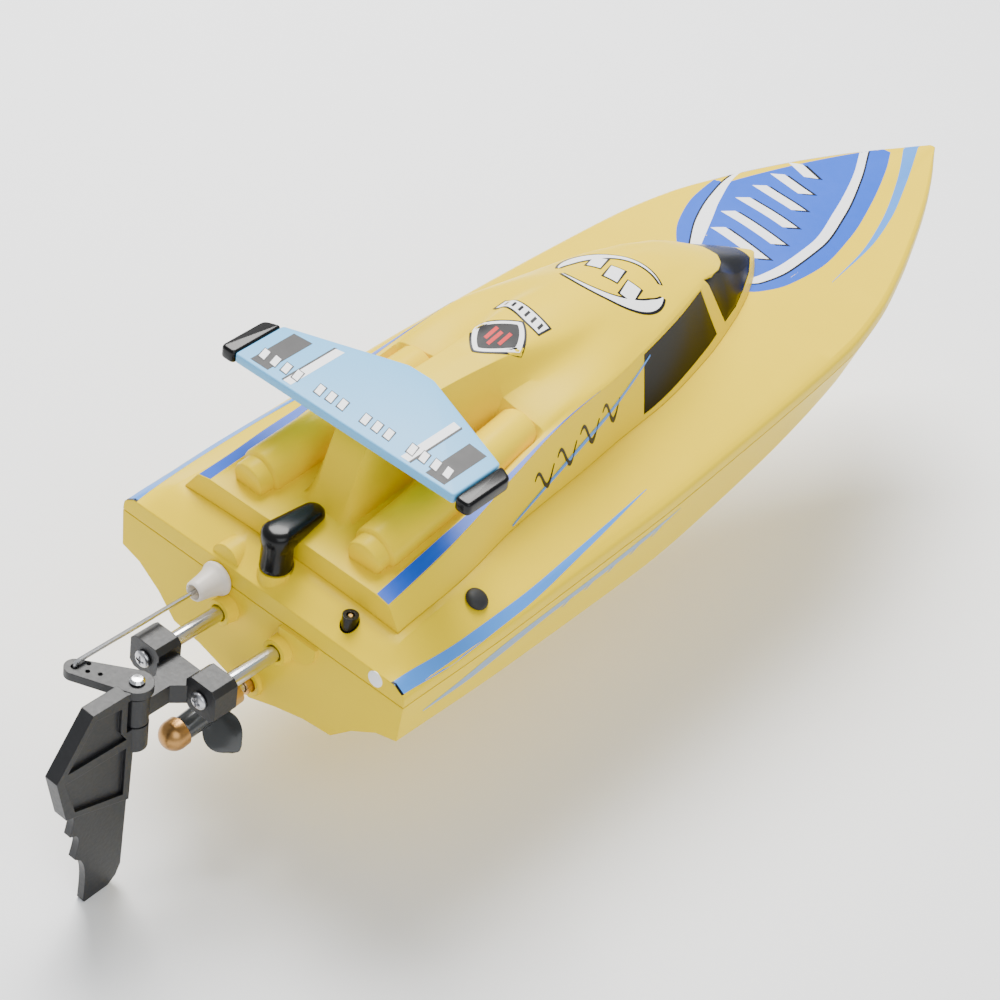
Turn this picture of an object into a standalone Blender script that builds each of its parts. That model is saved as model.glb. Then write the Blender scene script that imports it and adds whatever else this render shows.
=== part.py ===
"""Radio-controlled V-hull speedboat: hull, deck, canopy, wing, rudder gear and drive line.

Hull frame used by every sub-part (before the parent empty places it in the world):
x points to port, y points aft with the transom's outer face at 0, z points up with the
hull-to-deck parting line at 0 on the transom. The helpers take millimetres.
"""
import bpy
import bmesh
from math import atan2, cos, hypot, pi, radians, sin
from mathutils import Matrix, Vector

MM = 0.001

# ---- driving dimensions (mm, hull frame) --------------------------------------------
HULL_LENGTH = 300.0
WALL = 1.6                      # hull, deck and canopy wall
GAP = 0.3                       # clearance between touching pieces
RUDDER_TIP_Z = -64.0            # lowest point of the boat
RUDDER_AFT_Y = 64.1             # aftmost point of the boat
TRANSOM_Y = (HULL_LENGTH - RUDDER_AFT_Y) / 2   # world y of the transom
PARTING_Z = -RUDDER_TIP_Z                      # world z of the parting line

TUBE_X = 9.4                    # rudder bracket tubes, half spacing
TUBE_Z = -7.0
TUBE_R = 2.0
BRACKET_FWD = 20.3
BRACKET_AFT = 27.5
HINGE_Y = 38.8                  # rudder pin
TILLER_TOP = -0.8               # top face of the tiller plate
TILLER = (13.0, 46.0)           # pushrod hole in the tiller
ROD_Z = 0.3                     # pushrod axis height
ROD_R = 0.6

SHAFT_Z = -26.3                 # shaft height at SHAFT_Y
SHAFT_Y = 20.0
SHAFT_SLOPE = 0.0875            # rise per mm going forward
PROP_R = 12.5
MOTOR_R = 10.4
MOTOR_REAR = -90.0

WING_HALF = 35.2                # half span of the blue board, without the caps
WING_TIP = 40.0
WING_REAR_Y = -22.8
WING_TOP = 43.9
WING_T = 2.6
WING_SLOPE = 0.055              # rise per mm going forward

LATCH_Y = -4.9
LATCH_SEAT_Z = 9.3

SERVO_AXIS = (0.1, -33.0)
HORN = (13.0, -38.0)            # pushrod hole in the servo horn


# ---- helpers -------------------------------------------------------------------------
def clear_scene():
    for obj in list(bpy.data.objects):
        bpy.data.objects.remove(obj, do_unlink=True)


def new_collection(name):
    coll = bpy.data.collections.new(name)
    bpy.context.scene.collection.children.link(coll)
    return coll


def material(name, colour, roughness=0.5, metallic=0.0):
    mat = bpy.data.materials.get(name)
    if mat:
        return mat
    mat = bpy.data.materials.new(name)
    mat.use_nodes = True
    bsdf = mat.node_tree.nodes["Principled BSDF"]
    bsdf.inputs["Base Color"].default_value = (*colour, 1.0)
    bsdf.inputs["Roughness"].default_value = roughness
    bsdf.inputs["Metallic"].default_value = metallic
    return mat


def track(pairs):
    """Smooth function through (distance, value) pairs, with no overshoot (monotone cubic)."""
    xs = [p[0] for p in pairs]
    vs = [p[1] for p in pairs]
    steps = [(vs[i + 1] - vs[i]) / (xs[i + 1] - xs[i]) for i in range(len(xs) - 1)]
    slopes = [steps[0]]
    for i in range(1, len(xs) - 1):
        a, b = steps[i - 1], steps[i]
        slopes.append(0.0 if a * b <= 0 else 2 * a * b / (a + b))
    slopes.append(steps[-1])

    def value(x):
        x = min(max(x, xs[0]), xs[-1])
        i = 0
        while i < len(xs) - 2 and x > xs[i + 1]:
            i += 1
        h = xs[i + 1] - xs[i]
        t = (x - xs[i]) / h
        a = (1 + 2 * t) * (1 - t) ** 2
        b = t * (1 - t) ** 2
        c = t * t * (3 - 2 * t)
        d = t * t * (t - 1)
        return a * vs[i] + b * h * slopes[i] + c * vs[i + 1] + d * h * slopes[i + 1]

    return value


def add_object(name, mesh, mat, origin=(0, 0, 0), parent=None, coll=None):
    """Link a mesh whose points are hull-frame mm less the origin."""
    obj = bpy.data.objects.new(name, mesh)
    (coll or PARTS).objects.link(obj)
    obj.location = Vector(origin) * MM
    obj.parent = parent or BOAT
    if mat:
        obj.data.materials.append(mat)
    return obj


def mesh_from(name, build, origin=(0, 0, 0), turn=None):
    bm = bmesh.new()
    build(bm)
    bmesh.ops.scale(bm, vec=(MM, MM, MM), verts=bm.verts)
    bmesh.ops.translate(bm, vec=-Vector(origin) * MM, verts=bm.verts)
    if turn:
        bmesh.ops.transform(bm, matrix=turn, verts=bm.verts)
    bmesh.ops.recalc_face_normals(bm, faces=bm.faces)
    mesh = bpy.data.meshes.new(name)
    bm.to_mesh(mesh)
    bm.free()
    return mesh


def box_in(bm, lo, hi):
    size = Vector(hi) - Vector(lo)
    mid = (Vector(hi) + Vector(lo)) / 2
    place = Matrix.Translation(mid) @ Matrix.Diagonal((*size, 1.0))
    bmesh.ops.create_cube(bm, size=1.0, matrix=place)


def cone_in(bm, start, end, r1, r2, segments=24, spin=0.0):
    """Round bar from start to end, radius r1 at start and r2 at end."""
    a, b = Vector(start), Vector(end)
    axis = b - a
    turn = Vector((0, 0, 1)).rotation_difference(axis.normalized()).to_matrix().to_4x4()
    place = Matrix.Translation((a + b) / 2) @ turn @ Matrix.Rotation(spin, 4, "Z")
    bmesh.ops.create_cone(bm, cap_ends=True, segments=segments, radius1=r1, radius2=r2,
                          depth=axis.length, matrix=place)


def prism_in(bm, outline, lo, hi, axes="xy"):
    """Extrude a closed outline; axes names the outline's two directions."""
    order = {"xy": (0, 1, 2), "yz": (1, 2, 0), "xz": (0, 2, 1)}[axes]

    def point(p, h):
        v = [0.0, 0.0, 0.0]
        v[order[0]], v[order[1]], v[order[2]] = p[0], p[1], h
        return bm.verts.new(v)

    low = [point(p, lo) for p in outline]
    high = [point(p, hi) for p in outline]
    n = len(outline)
    bm.faces.new(low[::-1])
    bm.faces.new(high)
    for i in range(n):
        bm.faces.new([low[i], low[(i + 1) % n], high[(i + 1) % n], high[i]])


def solid(name, build, mat, origin=(0, 0, 0), smooth=30, bevel=0.0, coll=None, parent=None,
          bevel_angle=30, segments=1):
    obj = add_object(name, mesh_from(name, build, origin), mat, origin, parent, coll)
    if smooth:
        obj.data.shade_smooth()
        obj.data.set_sharp_from_angle(angle=radians(smooth))
    if bevel:
        mod = obj.modifiers.new("Bevel", "BEVEL")
        mod.width = bevel * MM
        mod.segments = segments
        mod.limit_method = "ANGLE"
        mod.angle_limit = radians(bevel_angle)
    return obj


def cutter(name, build):
    obj = solid(name, build, None, smooth=0, coll=CUTTERS)
    obj.hide_render = True
    obj.display_type = "WIRE"
    return obj


def boolean(obj, other, operation="DIFFERENCE"):
    mod = obj.modifiers.new(other.name, "BOOLEAN")
    mod.operation = operation
    mod.object = other
    mod.solver = "EXACT"


def cut(obj, name, build):
    boolean(obj, cutter(name, build))


def join(obj, name, build):
    boolean(obj, cutter(name, build), "UNION")


def turned(name, profile, start, direction, mat, segments=24, parent=None, tube=False):
    """Lathe piece: profile runs (radius, distance) down the outer side along direction."""
    mesh = bpy.data.meshes.new(name)
    edges = [(i, i + 1) for i in range(len(profile) - 1)]
    if tube:
        edges.append((len(profile) - 1, 0))
    mesh.from_pydata([(r * MM, 0, -h * MM) for r, h in profile], edges, [])
    obj = add_object(name, mesh, mat, start, parent)
    obj.rotation_mode = "QUATERNION"
    obj.rotation_quaternion = Vector((0, 0, -1)).rotation_difference(Vector(direction))
    mod = obj.modifiers.new("Screw", "SCREW")
    mod.axis = "Z"
    mod.steps = segments
    mod.render_steps = segments
    mod.use_merge_vertices = True
    mod.merge_threshold = 0.00002
    mod.use_smooth_shade = True
    return obj


def rod(name, points, radius, mat, origin=(0, 0, 0), resolution=2, cyclic=False):
    """Round wire along a polyline, with filled caps."""
    data = bpy.data.curves.new(name, "CURVE")
    data.dimensions = "3D"
    data.bevel_depth = radius * MM
    data.bevel_resolution = resolution
    data.use_fill_caps = True
    data.materials.append(mat)
    spline = data.splines.new("POLY")
    spline.points.add(len(points) - 1)
    for p, co in zip(spline.points, points):
        p.co = (*((Vector(co) - Vector(origin)) * MM), 1.0)
    spline.use_cyclic_u = cyclic
    obj = bpy.data.objects.new(name, data)
    PARTS.objects.link(obj)
    obj.location = Vector(origin) * MM
    obj.parent = BOAT
    return obj


def arc(cx, cy, r, start, end, steps):
    """Points on a circle, angles in degrees."""
    return [(cx + r * cos(radians(start + (end - start) * i / steps)),
             cy + r * sin(radians(start + (end - start) * i / steps))) for i in range(steps + 1)]


def ring_loft(bm, rings, cap_first=True, cap_last=True):
    """Skin closed rings of equal point count."""
    rows = [[bm.verts.new(p) for p in ring] for ring in rings]
    n = len(rings[0])
    for a, b in zip(rows, rows[1:]):
        for i in range(n):
            bm.faces.new([a[i], a[(i + 1) % n], b[(i + 1) % n], b[i]])
    if cap_first:
        bm.faces.new(rows[0][::-1])
    if cap_last:
        bm.faces.new(rows[-1])


def inset(section, amount):
    """Move an open (x, z) polyline sideways by amount, to its left when walking along it."""
    out = []
    for i, p in enumerate(section):
        dirs = []
        if i > 0:
            q = section[i - 1]
            dirs.append((p[0] - q[0], p[1] - q[1]))
        if i < len(section) - 1:
            q = section[i + 1]
            dirs.append((q[0] - p[0], q[1] - p[1]))
        norm = []
        for dx, dz in dirs:
            length = hypot(dx, dz) or 1.0
            norm.append((-dz / length, dx / length))
        nx = sum(v[0] for v in norm) / len(norm)
        nz = sum(v[1] for v in norm) / len(norm)
        size = max(nx * nx + nz * nz, 0.35)
        out.append((p[0] + nx / size * amount, p[1] + nz / size * amount))
    return out


def shell_loft(bm, outer_y, outer, inner_y, inner):
    """Thick open-sided shell from open (x, z) sections; outer stations past the last
    inner one are solid, closed along the rim by one flat face."""
    rows_out = [[bm.verts.new((x, y, z)) for x, z in sec] for y, sec in zip(outer_y, outer)]
    rows_in = [[bm.verts.new((x, y, z)) for x, z in sec] for y, sec in zip(inner_y, inner)]
    n = len(outer[0])
    for a, b in zip(rows_out, rows_out[1:]):
        for i in range(n - 1):
            bm.faces.new([a[i], a[i + 1], b[i + 1], b[i]])
    for a, b in zip(rows_in, rows_in[1:]):
        for i in range(n - 1):
            bm.faces.new([b[i], b[i + 1], a[i + 1], a[i]])
    pairs = len(rows_in)
    for side in (0, n - 1):
        for k in range(pairs - 1):
            quad = [rows_out[k][side], rows_out[k + 1][side], rows_in[k + 1][side], rows_in[k][side]]
            bm.faces.new(quad if side == 0 else quad[::-1])
    for row in (rows_out[0], rows_out[-1], rows_in[0], rows_in[-1]):
        bm.faces.new(row)
    bm.faces.new([rows_out[0][0], rows_in[0][0], rows_in[0][-1], rows_out[0][-1]])
    tail = [row[0] for row in rows_out[pairs - 1:]]
    tail += [row[-1] for row in rows_out[pairs - 1:][::-1]]
    bm.faces.new(tail + [rows_in[-1][-1], rows_in[-1][0]])


def blend_point(tracks, d):
    return (tracks[0](d), tracks[1](d))


def mirrored(half):
    """Port-to-starboard section from a half section that ends on the centre line."""
    return half + [(-x, z) for x, z in half[-2::-1]]


# ---- hull lines: distance d is measured forward from the transom ------------------------
half_breadth = track([(0, 47), (40, 48), (90, 48), (130, 46.8), (160, 45.4), (190, 43.3),
                      (210, 39.6), (230, 33.3), (250, 25.6), (270, 17), (285, 9.6),
                      (295, 4), (300, 1.0)])
sheer = track([(0, 3.3), (35, 5.2), (100, 9.3), (150, 12.6), (190, 15.2), (220, 17.8),
               (260, 19.8), (300, 20.3)])
keel = track([(0, -30.5), (170, -30.5), (200, -29), (230, -24.5), (260, -13.5), (285, 1.5),
              (300, 15.5)])
chine_z = track([(0, -11), (90, -10), (150, -5), (200, 1.5), (250, 8.5), (280, 13.3), (300, 16.3)])
chine_in = track([(0, 0.5), (90, 0.8), (150, 1.6), (200, 3.4), (250, 4.4), (285, 2.6), (300, 0.4)])
plain_v = track([(90, 0), (230, 1)])

side_x = track([(0, 38), (9, 37.5), (33, 35.5), (60, 31.5), (85, 30), (105, 28.7), (117, 28.3),
                (147, 24), (170, 18), (187, 15), (210, 14), (250, 9), (285, 4), (300, 0.45)])
side_z = track([(0, 4.9), (9, 9.5), (33, 11), (60, 13), (85, 14.5), (105, 16), (117, 17),
                (147, 18), (170, 18.6), (187, 19.3), (220, 20.5), (260, 21.1), (290, 20.6),
                (300, 20.35)])
crown_z = track([(0, 5.3), (9, 10.8), (33, 12), (60, 14), (105, 17), (150, 19), (200, 20.4),
                 (230, 21.4), (260, 21.6), (290, 20.9), (300, 20.4)])
stripe_in = track([(0, 3.5), (50, 3.2), (100, 2.2), (285, 1.6), (300, 0.3)])
stripe_up = track([(0, 1.7), (50, 1.7), (100, 1.0), (285, 0.4), (300, 0.03)])


def hull_section(d):
    """Hull bottom, port parting line to starboard parting line."""
    w = half_breadth(d) - chine_in(d)
    k, c = keel(d), chine_z(d)
    v = plain_v(d)
    shape = [(1.0, 1.0), (0.867, 0.908), (0.71, 0.66), (0.58, 0.354), (0.46, 0.318),
             (0.387, 0.297), (0.183, 0.159), (0.0, 0.0)]
    half = [(half_breadth(d), sheer(d) - 3.3 - GAP / 2)]
    half += [(w * fx, k + (c - k) * (fz * (1 - v) + fx ** 1.25 * v)) for fx, fz in shape]
    return mirrored(half)


def deck_section(d):
    """Deck moulding, port skirt to starboard skirt."""
    b, s = half_breadth(d), sheer(d)
    half = [(b, s - 3.3 + GAP / 2), (b - 0.2 * min(1, b), s - 1.2), (b - 0.8 * min(1, b / 3), s),
            (b - min(stripe_in(d), 0.5 * b), s + stripe_up(d)), (side_x(d), side_z(d)),
            (side_x(d) * 0.55, side_z(d) * 0.35 + crown_z(d) * 0.65), (0.0, crown_z(d))]
    return mirrored(half)


def deck_height(d, x):
    """Deck surface height at half-breadth x."""
    sec = deck_section(d)
    half = sec[1:len(sec) // 2 + 1]
    for (x1, z1), (x0, z0) in zip(half, half[1:]):
        if x0 <= x <= x1:
            return z0 + (z1 - z0) * (x - x0) / (x1 - x0)
    return half[0][1]


# ---- canopy lines ------------------------------------------------------------------------
BASE_X = track([(9.3, 36.5), (33, 34.5), (60, 30.5), (85, 29), (105, 27.6), (117, 27.3),
                (147, 22.8), (170, 16.5), (187, 9.8), (195, 4.9), (199, 1.2)])
RAIL = (track([(9.3, 31.6), (19.4, 31), (30, 30.4), (40, 29.4), (49.7, 28.4), (60, 27.5),
               (70.4, 26.3), (81.4, 25.4), (93, 24.9), (115, 21.5), (137, 17), (150, 13.8),
               (156, 12.6), (165, 14.2), (176, 11.9), (187, 7.6), (195, 3.4), (199, 0.9)]),
        track([(9.3, 15.7), (19.4, 17.5), (30, 19.9), (40, 22.2), (49.7, 25.1), (60, 28.4),
               (70.4, 31.2), (81.4, 33.3), (93, 34.8), (115, 35.3), (137, 36), (150, 35.6),
               (156, 34.0), (165, 25.5), (176, 23.4), (187, 22.6), (195, 21.9), (199, 21.2)]))
RAIL_IN = (track([(9.3, 27.4), (40, 26.2), (70, 24.5), (93, 23.9), (115, 20.2), (137, 15.8),
                  (150, 12.6), (156, 11.0), (165, 10.2), (176, 9.3), (187, 6.3), (195, 2.8),
                  (199, 0.7)]),
           track([(9.3, 16.6), (40, 22.6), (70, 31.2), (93, 35.6), (115, 36.2), (137, 36.9),
                  (150, 36.4), (156, 35.6), (165, 33.0), (176, 27.4), (187, 24.3), (195, 22.4),
                  (199, 21.3)]))
FLOOR = (track([(9.3, 26.6), (40, 25.4), (66, 22.0), (71, 22.5), (93, 21.2), (115, 17.6),
                (137, 13.4), (150, 10.7), (156, 9.2), (165, 8.2), (176, 7.2), (187, 4.8),
                (195, 2.1), (199, 0.5)]),
         track([(9.3, 16.6), (20, 18.1), (40, 21), (64, 25.9), (69.5, 27), (72, 32.4), (93, 36.4),
                (115, 37.8), (137, 37.8), (150, 37.0), (156, 36.2), (165, 33.8), (176, 28.9),
                (187, 25.3), (195, 22.65), (199, 21.35)]))
SPINE = (track([(9.3, 8.4), (20, 8.1), (27, 8.2), (66, 9.7), (94.5, 13.1), (115, 12.0), (137, 9),
                (150, 7.2), (156, 6.2), (176, 4.8), (187, 3.2), (195, 1.4), (199, 0.32)]),
         track([(9.3, 16.8), (20, 18.2), (40, 21.3), (64, 26.3), (69.5, 28), (72, 34.3),
                (94.5, 38.3), (115, 40.2), (137, 39.1), (150, 37.7), (156, 36.6), (165, 34.2),
                (176, 30.0), (187, 25.9), (195, 22.85), (199, 21.38)]))
SHOULDER = (track([(9.3, 5.0), (20, 5.0), (51, 5.0), (80, 6.6), (98, 8.2), (115, 6.4), (137, 5),
                   (150, 3.9), (156, 3.3), (176, 2.6), (187, 1.7), (195, 0.75), (199, 0.16)]),
            track([(9.3, 16.9), (20, 18.3), (27, 36.8), (29.5, 41.2), (51, 42.3), (80, 42.6),
                   (98, 42.0), (115, 42.0), (124, 41.4), (137, 40.1), (150, 38.3), (156, 36.9),
                   (165, 34.4), (176, 30.4), (187, 26.1), (195, 22.92), (199, 21.4)]))
TOP_Z = track([(9.3, 17.0), (20, 18.4), (27, 37.0), (29.5, 41.4), (51, 42.4), (80, 43),
               (100, 43.2), (124, 42), (150, 38.5), (156, 37.0), (165, 34.5), (176, 30.5),
               (187, 26.15), (195, 22.95), (199, 21.41)])


def base_z(d):
    """Lower edge before the deck's shape is cut away."""
    return deck_height(d, BASE_X(d)) - 1.0


def canopy_section(d):
    """Canopy outside, port base to starboard base."""
    half = [(BASE_X(d), base_z(d)), blend_point(RAIL, d), blend_point(RAIL_IN, d),
            blend_point(FLOOR, d), blend_point(SPINE, d), blend_point(SHOULDER, d),
            (0.0, TOP_Z(d))]
    return mirrored(half)


def canopy_inner(d):
    """Canopy inside, one wall inside the outer section a little further aft."""
    t = d - WALL if d < 70 else d
    rail, floor = blend_point(RAIL, t), blend_point(FLOOR, t)
    spine, shoulder = blend_point(SPINE, t), blend_point(SHOULDER, t)
    x1 = min(rail[0], BASE_X(d)) - 2.0
    half = [(BASE_X(d) - WALL, base_z(d)),
            (x1, min(rail[1], floor[1] + 1.0) - 1.7),
            (min(floor[0] - 0.3, x1 - 0.4), floor[1] - 1.7),
            (max(spine[0] - 1.1, 0.6 * spine[0]), spine[1] - 1.75),
            (max(shoulder[0] - 1.5, 0.3 * shoulder[0]), shoulder[1] - 1.75),
            (0.0, TOP_Z(t) - 1.75)]
    half.insert(3, ((half[2][0] + half[3][0]) / 2, (half[2][1] + half[3][1]) / 2 - 0.05))
    return mirrored(half)


# ---- hull, deck, canopy ---------------------------------------------------------------------
def inner_station(d):
    """Distance of the inside section that pairs with the outside one; the bow is solid."""
    return track([(0, 2.0), (20, 20.0), (240, 240.0), (272, 264.0)])(d)


def build_hull():
    outer_d = [0, 30, 60, 90, 120, 150, 175, 200, 215, 230, 245, 260, 272, 283, 292, 299.8]

    def build(bm):
        inner_d = [inner_station(d) for d in outer_d if d <= 272]
        outer = [hull_section(d) for d in outer_d]
        inner = []
        for d in inner_d:
            sec = inset(hull_section(d), -WALL)
            rim = hull_section(d)[0][1]
            sec[0] = (sec[0][0], rim)
            sec[-1] = (sec[-1][0], rim)
            inner.append(sec)
        shell_loft(bm, [-d for d in outer_d], outer, [-d for d in inner_d], inner)

    hull = solid("hull_bottom", build, YELLOW, smooth=28)

    def bosses(bm):
        for side in (-1, 1):
            cone_in(bm, (side * TUBE_X, -1.0, TUBE_Z), (side * TUBE_X, 3.4, TUBE_Z), 3.8, 3.6)

    join(hull, "tube_bosses", bosses)

    def shaft_boss(bm):
        cone_in(bm, shaft_point(-6), shaft_point(1.2), 4.6, 4.2)

    join(hull, "shaft_boss", shaft_boss)
    pad = [(-8.0, -0.6)] + arc(-14.0, -1.8, 6.0, 355, 185, 14) + [(-20.0, -0.6)]
    join(hull, "transom_pad", lambda bm: prism_in(bm, pad, -1.0, 0.9, "xz"))

    def bores(bm):
        for side in (-1, 1):
            cone_in(bm, (side * TUBE_X, -8, TUBE_Z), (side * TUBE_X, 8, TUBE_Z),
                    TUBE_R + GAP, TUBE_R + GAP)

    cut(hull, "tube_bores", bores)
    cut(hull, "shaft_bore", lambda bm: cone_in(bm, shaft_point(-30), shaft_point(8), 2.8, 2.8))
    cut(hull, "rod_hole_hull", rod_hole)
    return hull


def rod_hole(bm):
    cone_in(bm, (TILLER[0], -6, ROD_Z), (TILLER[0], 6, ROD_Z), 2.4, 2.4)


def shaft_point(y):
    return (0.0, y, SHAFT_Z + SHAFT_SLOPE * (SHAFT_Y - y))


def opening_outline():
    port = [(BASE_X(d) - 5.0, -d) for d in (16, 33, 60, 85, 105, 117, 132, 147, 160, 172)]
    return port + [(-x, y) for x, y in port[::-1]]


DRAIN = (-39.4, -32.8)


DECK_D = [0, 3, 6, 9, 20, 33, 46, 60, 75, 90, 105, 117, 132, 147, 160, 172, 187, 200, 215, 230,
          245, 260, 272, 283, 292, 299.8]


def deck_clearance(bm):
    """Solid whose top lies one gap above the deck, to trim what stands on it."""
    rings = []
    for d in DECK_D[1:18]:
        sec = [(x, -d, z + GAP) for x, z in deck_section(d)]
        rings.append(sec + [(sec[-1][0], -d, -6.0), (sec[0][0], -d, -6.0)])
    ring_loft(bm, rings)


def build_deck():
    def build(bm):
        inner_d = [inner_station(d) for d in DECK_D if d <= 272]
        outer = [deck_section(d) for d in DECK_D]
        inner = []
        for d in inner_d:
            sec = inset(deck_section(d), WALL)
            rim = deck_section(d)[0][1]
            sec[0] = (deck_section(d)[0][0] - WALL, rim)
            sec[-1] = (-sec[0][0], rim)
            inner.append(sec)
        shell_loft(bm, [-d for d in DECK_D], outer, [-d for d in inner_d], inner)

    deck = solid("deck", build, YELLOW, smooth=28)
    join(deck, "latch_boss", lambda bm: cone_in(bm, (0, LATCH_Y, 3.1), (0, LATCH_Y, LATCH_SEAT_Z),
                                                4.23, 4.21, 26))
    join(deck, "rod_hump", lambda bm: cone_in(bm, (12.6, -0.9, 5.4), (12.6, -9.5, 5.4), 4.2, 4.4))
    cut(deck, "hatch_opening", lambda bm: prism_in(bm, opening_outline(), -2, 40))
    cut(deck, "latch_recess", lambda bm: cone_in(bm, (0, LATCH_Y, LATCH_SEAT_Z), (0, LATCH_Y, 15),
                                                 4.35, 4.35))
    cut(deck, "latch_bore", lambda bm: cone_in(bm, (0, LATCH_Y, 0), (0, LATCH_Y, 12), 1.5, 1.5))
    cut(deck, "antenna_hole", lambda bm: cone_in(bm, (-24.5, -4.8, 0), (-24.5, -4.8, 14), 2.3, 2.3))
    base, up = drain_axis()
    cut(deck, "drain_hole", lambda bm: cone_in(bm, base - up * 5, base + up * 3, 2.1, 2.1))
    cut(deck, "rod_hole_deck", rod_hole)
    return deck


def drain_axis():
    """Point on the side deck and the outward normal there."""
    d, x = -DRAIN[1], -DRAIN[0]
    slope = (deck_height(d, x - 1.5) - deck_height(d, x + 1.5)) / 3.0
    up = Vector((-slope, 0, 1)).normalized()
    return Vector((DRAIN[0], DRAIN[1], deck_height(d, x))), up


def grown(outline, amount):
    """Closed outline pushed outwards by amount, corners mitred."""
    n = len(outline)
    area = sum(outline[i - 1][0] * outline[i][1] - outline[i][0] * outline[i - 1][1]
               for i in range(n))
    sign = 1.0 if area > 0 else -1.0
    out = []
    for i, p in enumerate(outline):
        before, after = outline[i - 1], outline[(i + 1) % n]
        a = Vector((p[0] - before[0], p[1] - before[1])).normalized()
        b = Vector((after[0] - p[0], after[1] - p[1])).normalized()
        normal = Vector((a.y + b.y, -a.x - b.x)) * sign
        out.append((p[0] + normal.x * amount / (1 + a.dot(b)),
                    p[1] + normal.y * amount / (1 + a.dot(b))))
    return out


def windshield_outline(grow=0.0):
    """Plan outline of the windshield between its upper and lower edges."""
    upper = [(11.6, -155.2), (11.0, -160.0), (9.3, -166.0), (6.2, -171.8), (2.6, -175.3)]
    lower = [(16.3, -162.6), (13.9, -170.5), (10.9, -178.0), (7.1, -186.0), (3.2, -191.6)]
    loop = lower + [(-x, y) for x, y in lower[::-1]] + [(-x, y) for x, y in upper] + upper[::-1]
    return grown(loop, grow)


def side_window_outline(grow=0.0):
    """Side outline (y, z) of the cabin's side window."""
    return grown([(-150.0, 33.9), (-153.6, 22.0), (-114.0, 19.6), (-116.0, 33.3)], grow)


CANOPY_D = [9.3, 20, 23.5, 27, 29.5, 40, 51, 60, 64, 69.5, 72, 80, 93, 104, 115, 126, 137, 144,
            150, 156, 160, 165, 170, 176, 181, 187, 191, 195, 199]


def canopy_shell(bm):
    inner_d = [9.3 + WALL + (d - 9.3) * (190.5 - 9.3 - WALL) / (199 - 9.3) for d in CANOPY_D]
    shell_loft(bm, [-d for d in CANOPY_D], [canopy_section(d) for d in CANOPY_D],
               [-d for d in inner_d], [canopy_inner(d) for d in inner_d])


def build_canopy():
    canopy = solid("canopy", canopy_shell, YELLOW, smooth=35)

    for side, label in ((1, "port"), (-1, "starboard")):
        join(canopy, "pod_" + label, lambda bm, s=side: cone_in(
            bm, (s * 19, -17.4, 19.5), (s * 17.0, -71.5, 27.8), 6.2, 6.2, 20))
        join(canopy, "pod_end_" + label, lambda bm, s=side: cone_in(
            bm, (s * 19, -13.4, 19.2), (s * 18.9, -19.4, 19.8), 4.9, 5.1, 20))
        cut(canopy, "window_gap_" + label, lambda bm, s=side: prism_in(
            bm, side_window_outline(GAP), s * 8.0, s * 40.0, "yz"))
        join_window(label, side)
    cut(canopy, "windshield_gap", lambda bm: prism_in(bm, windshield_outline(GAP), 18.0, 50.0))
    trim = cutter("deck_trim", deck_clearance)
    boolean(canopy, trim)
    glass = solid("windshield", canopy_shell, GLASS, smooth=35)
    boolean(glass, cutter("windshield_shape", lambda bm: prism_in(
        bm, windshield_outline(), 18.0, 50.0)), "INTERSECT")
    boolean(glass, trim)
    return canopy


def join_window(label, side):
    glass = solid("window_" + label, canopy_shell, GLASS, smooth=35)
    boolean(glass, cutter("window_shape_" + label, lambda bm: prism_in(
        bm, side_window_outline(), side * 8.0, side * 40.0, "yz")), "INTERSECT")


def wing_top(y):
    return WING_TOP + WING_SLOPE * (WING_REAR_Y - y)


def slab_in(bm, outline, thickness, drop=0.0):
    """Flat plate lying in the wing's plane."""
    high = [bm.verts.new((x, y, wing_top(y) - drop)) for x, y in outline]
    low = [bm.verts.new((x, y, wing_top(y) - drop - thickness)) for x, y in outline]
    n = len(outline)
    bm.faces.new(high)
    bm.faces.new(low[::-1])
    for i in range(n):
        bm.faces.new([low[i], low[(i + 1) % n], high[(i + 1) % n], high[i]])


def build_wing(canopy):
    board = [(-WING_HALF, WING_REAR_Y), (WING_HALF, WING_REAR_Y), (WING_HALF, -39.2),
             (0, -51.4), (-WING_HALF, -39.2)]
    wing = solid("wing", lambda bm: slab_in(bm, board, WING_T), BLUE, smooth=0, bevel=0.35)
    for side, label in ((1, "port"), (-1, "starboard")):
        cap = [(side * (WING_HALF + GAP), -22.6), (side * WING_TIP, -22.6),
               (side * WING_TIP, -37.4), (side * (WING_HALF + GAP), -39.4)]
        solid("wing_cap_" + label, lambda bm, c=cap: slab_in(bm, c, 3.6), BLACK, smooth=0,
              bevel=0.5)
    for y, seat, label in ((-37.0, 38.6, "rear"), (-46.0, 39.7, "front")):
        tip = wing_top(y) - 1.0

        def hole(bm, yy=y, top=tip + GAP):
            cone_in(bm, (0, yy, 33), (0, yy, top), 1.3, 1.3, 16)

        cut(wing, "wing_hole_" + label, hole)
        cut(canopy, "roof_hole_" + label, hole)
        turned("wing_screw_" + label, [(0, -1.0), (1.5, -0.8), (2.2, -0.3), (2.2, 0), (1.0, 0),
                                       (1.0, tip - seat), (0, tip - seat)],
               (0, y, seat), (0, 0, 1), STEEL, 16)


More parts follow.
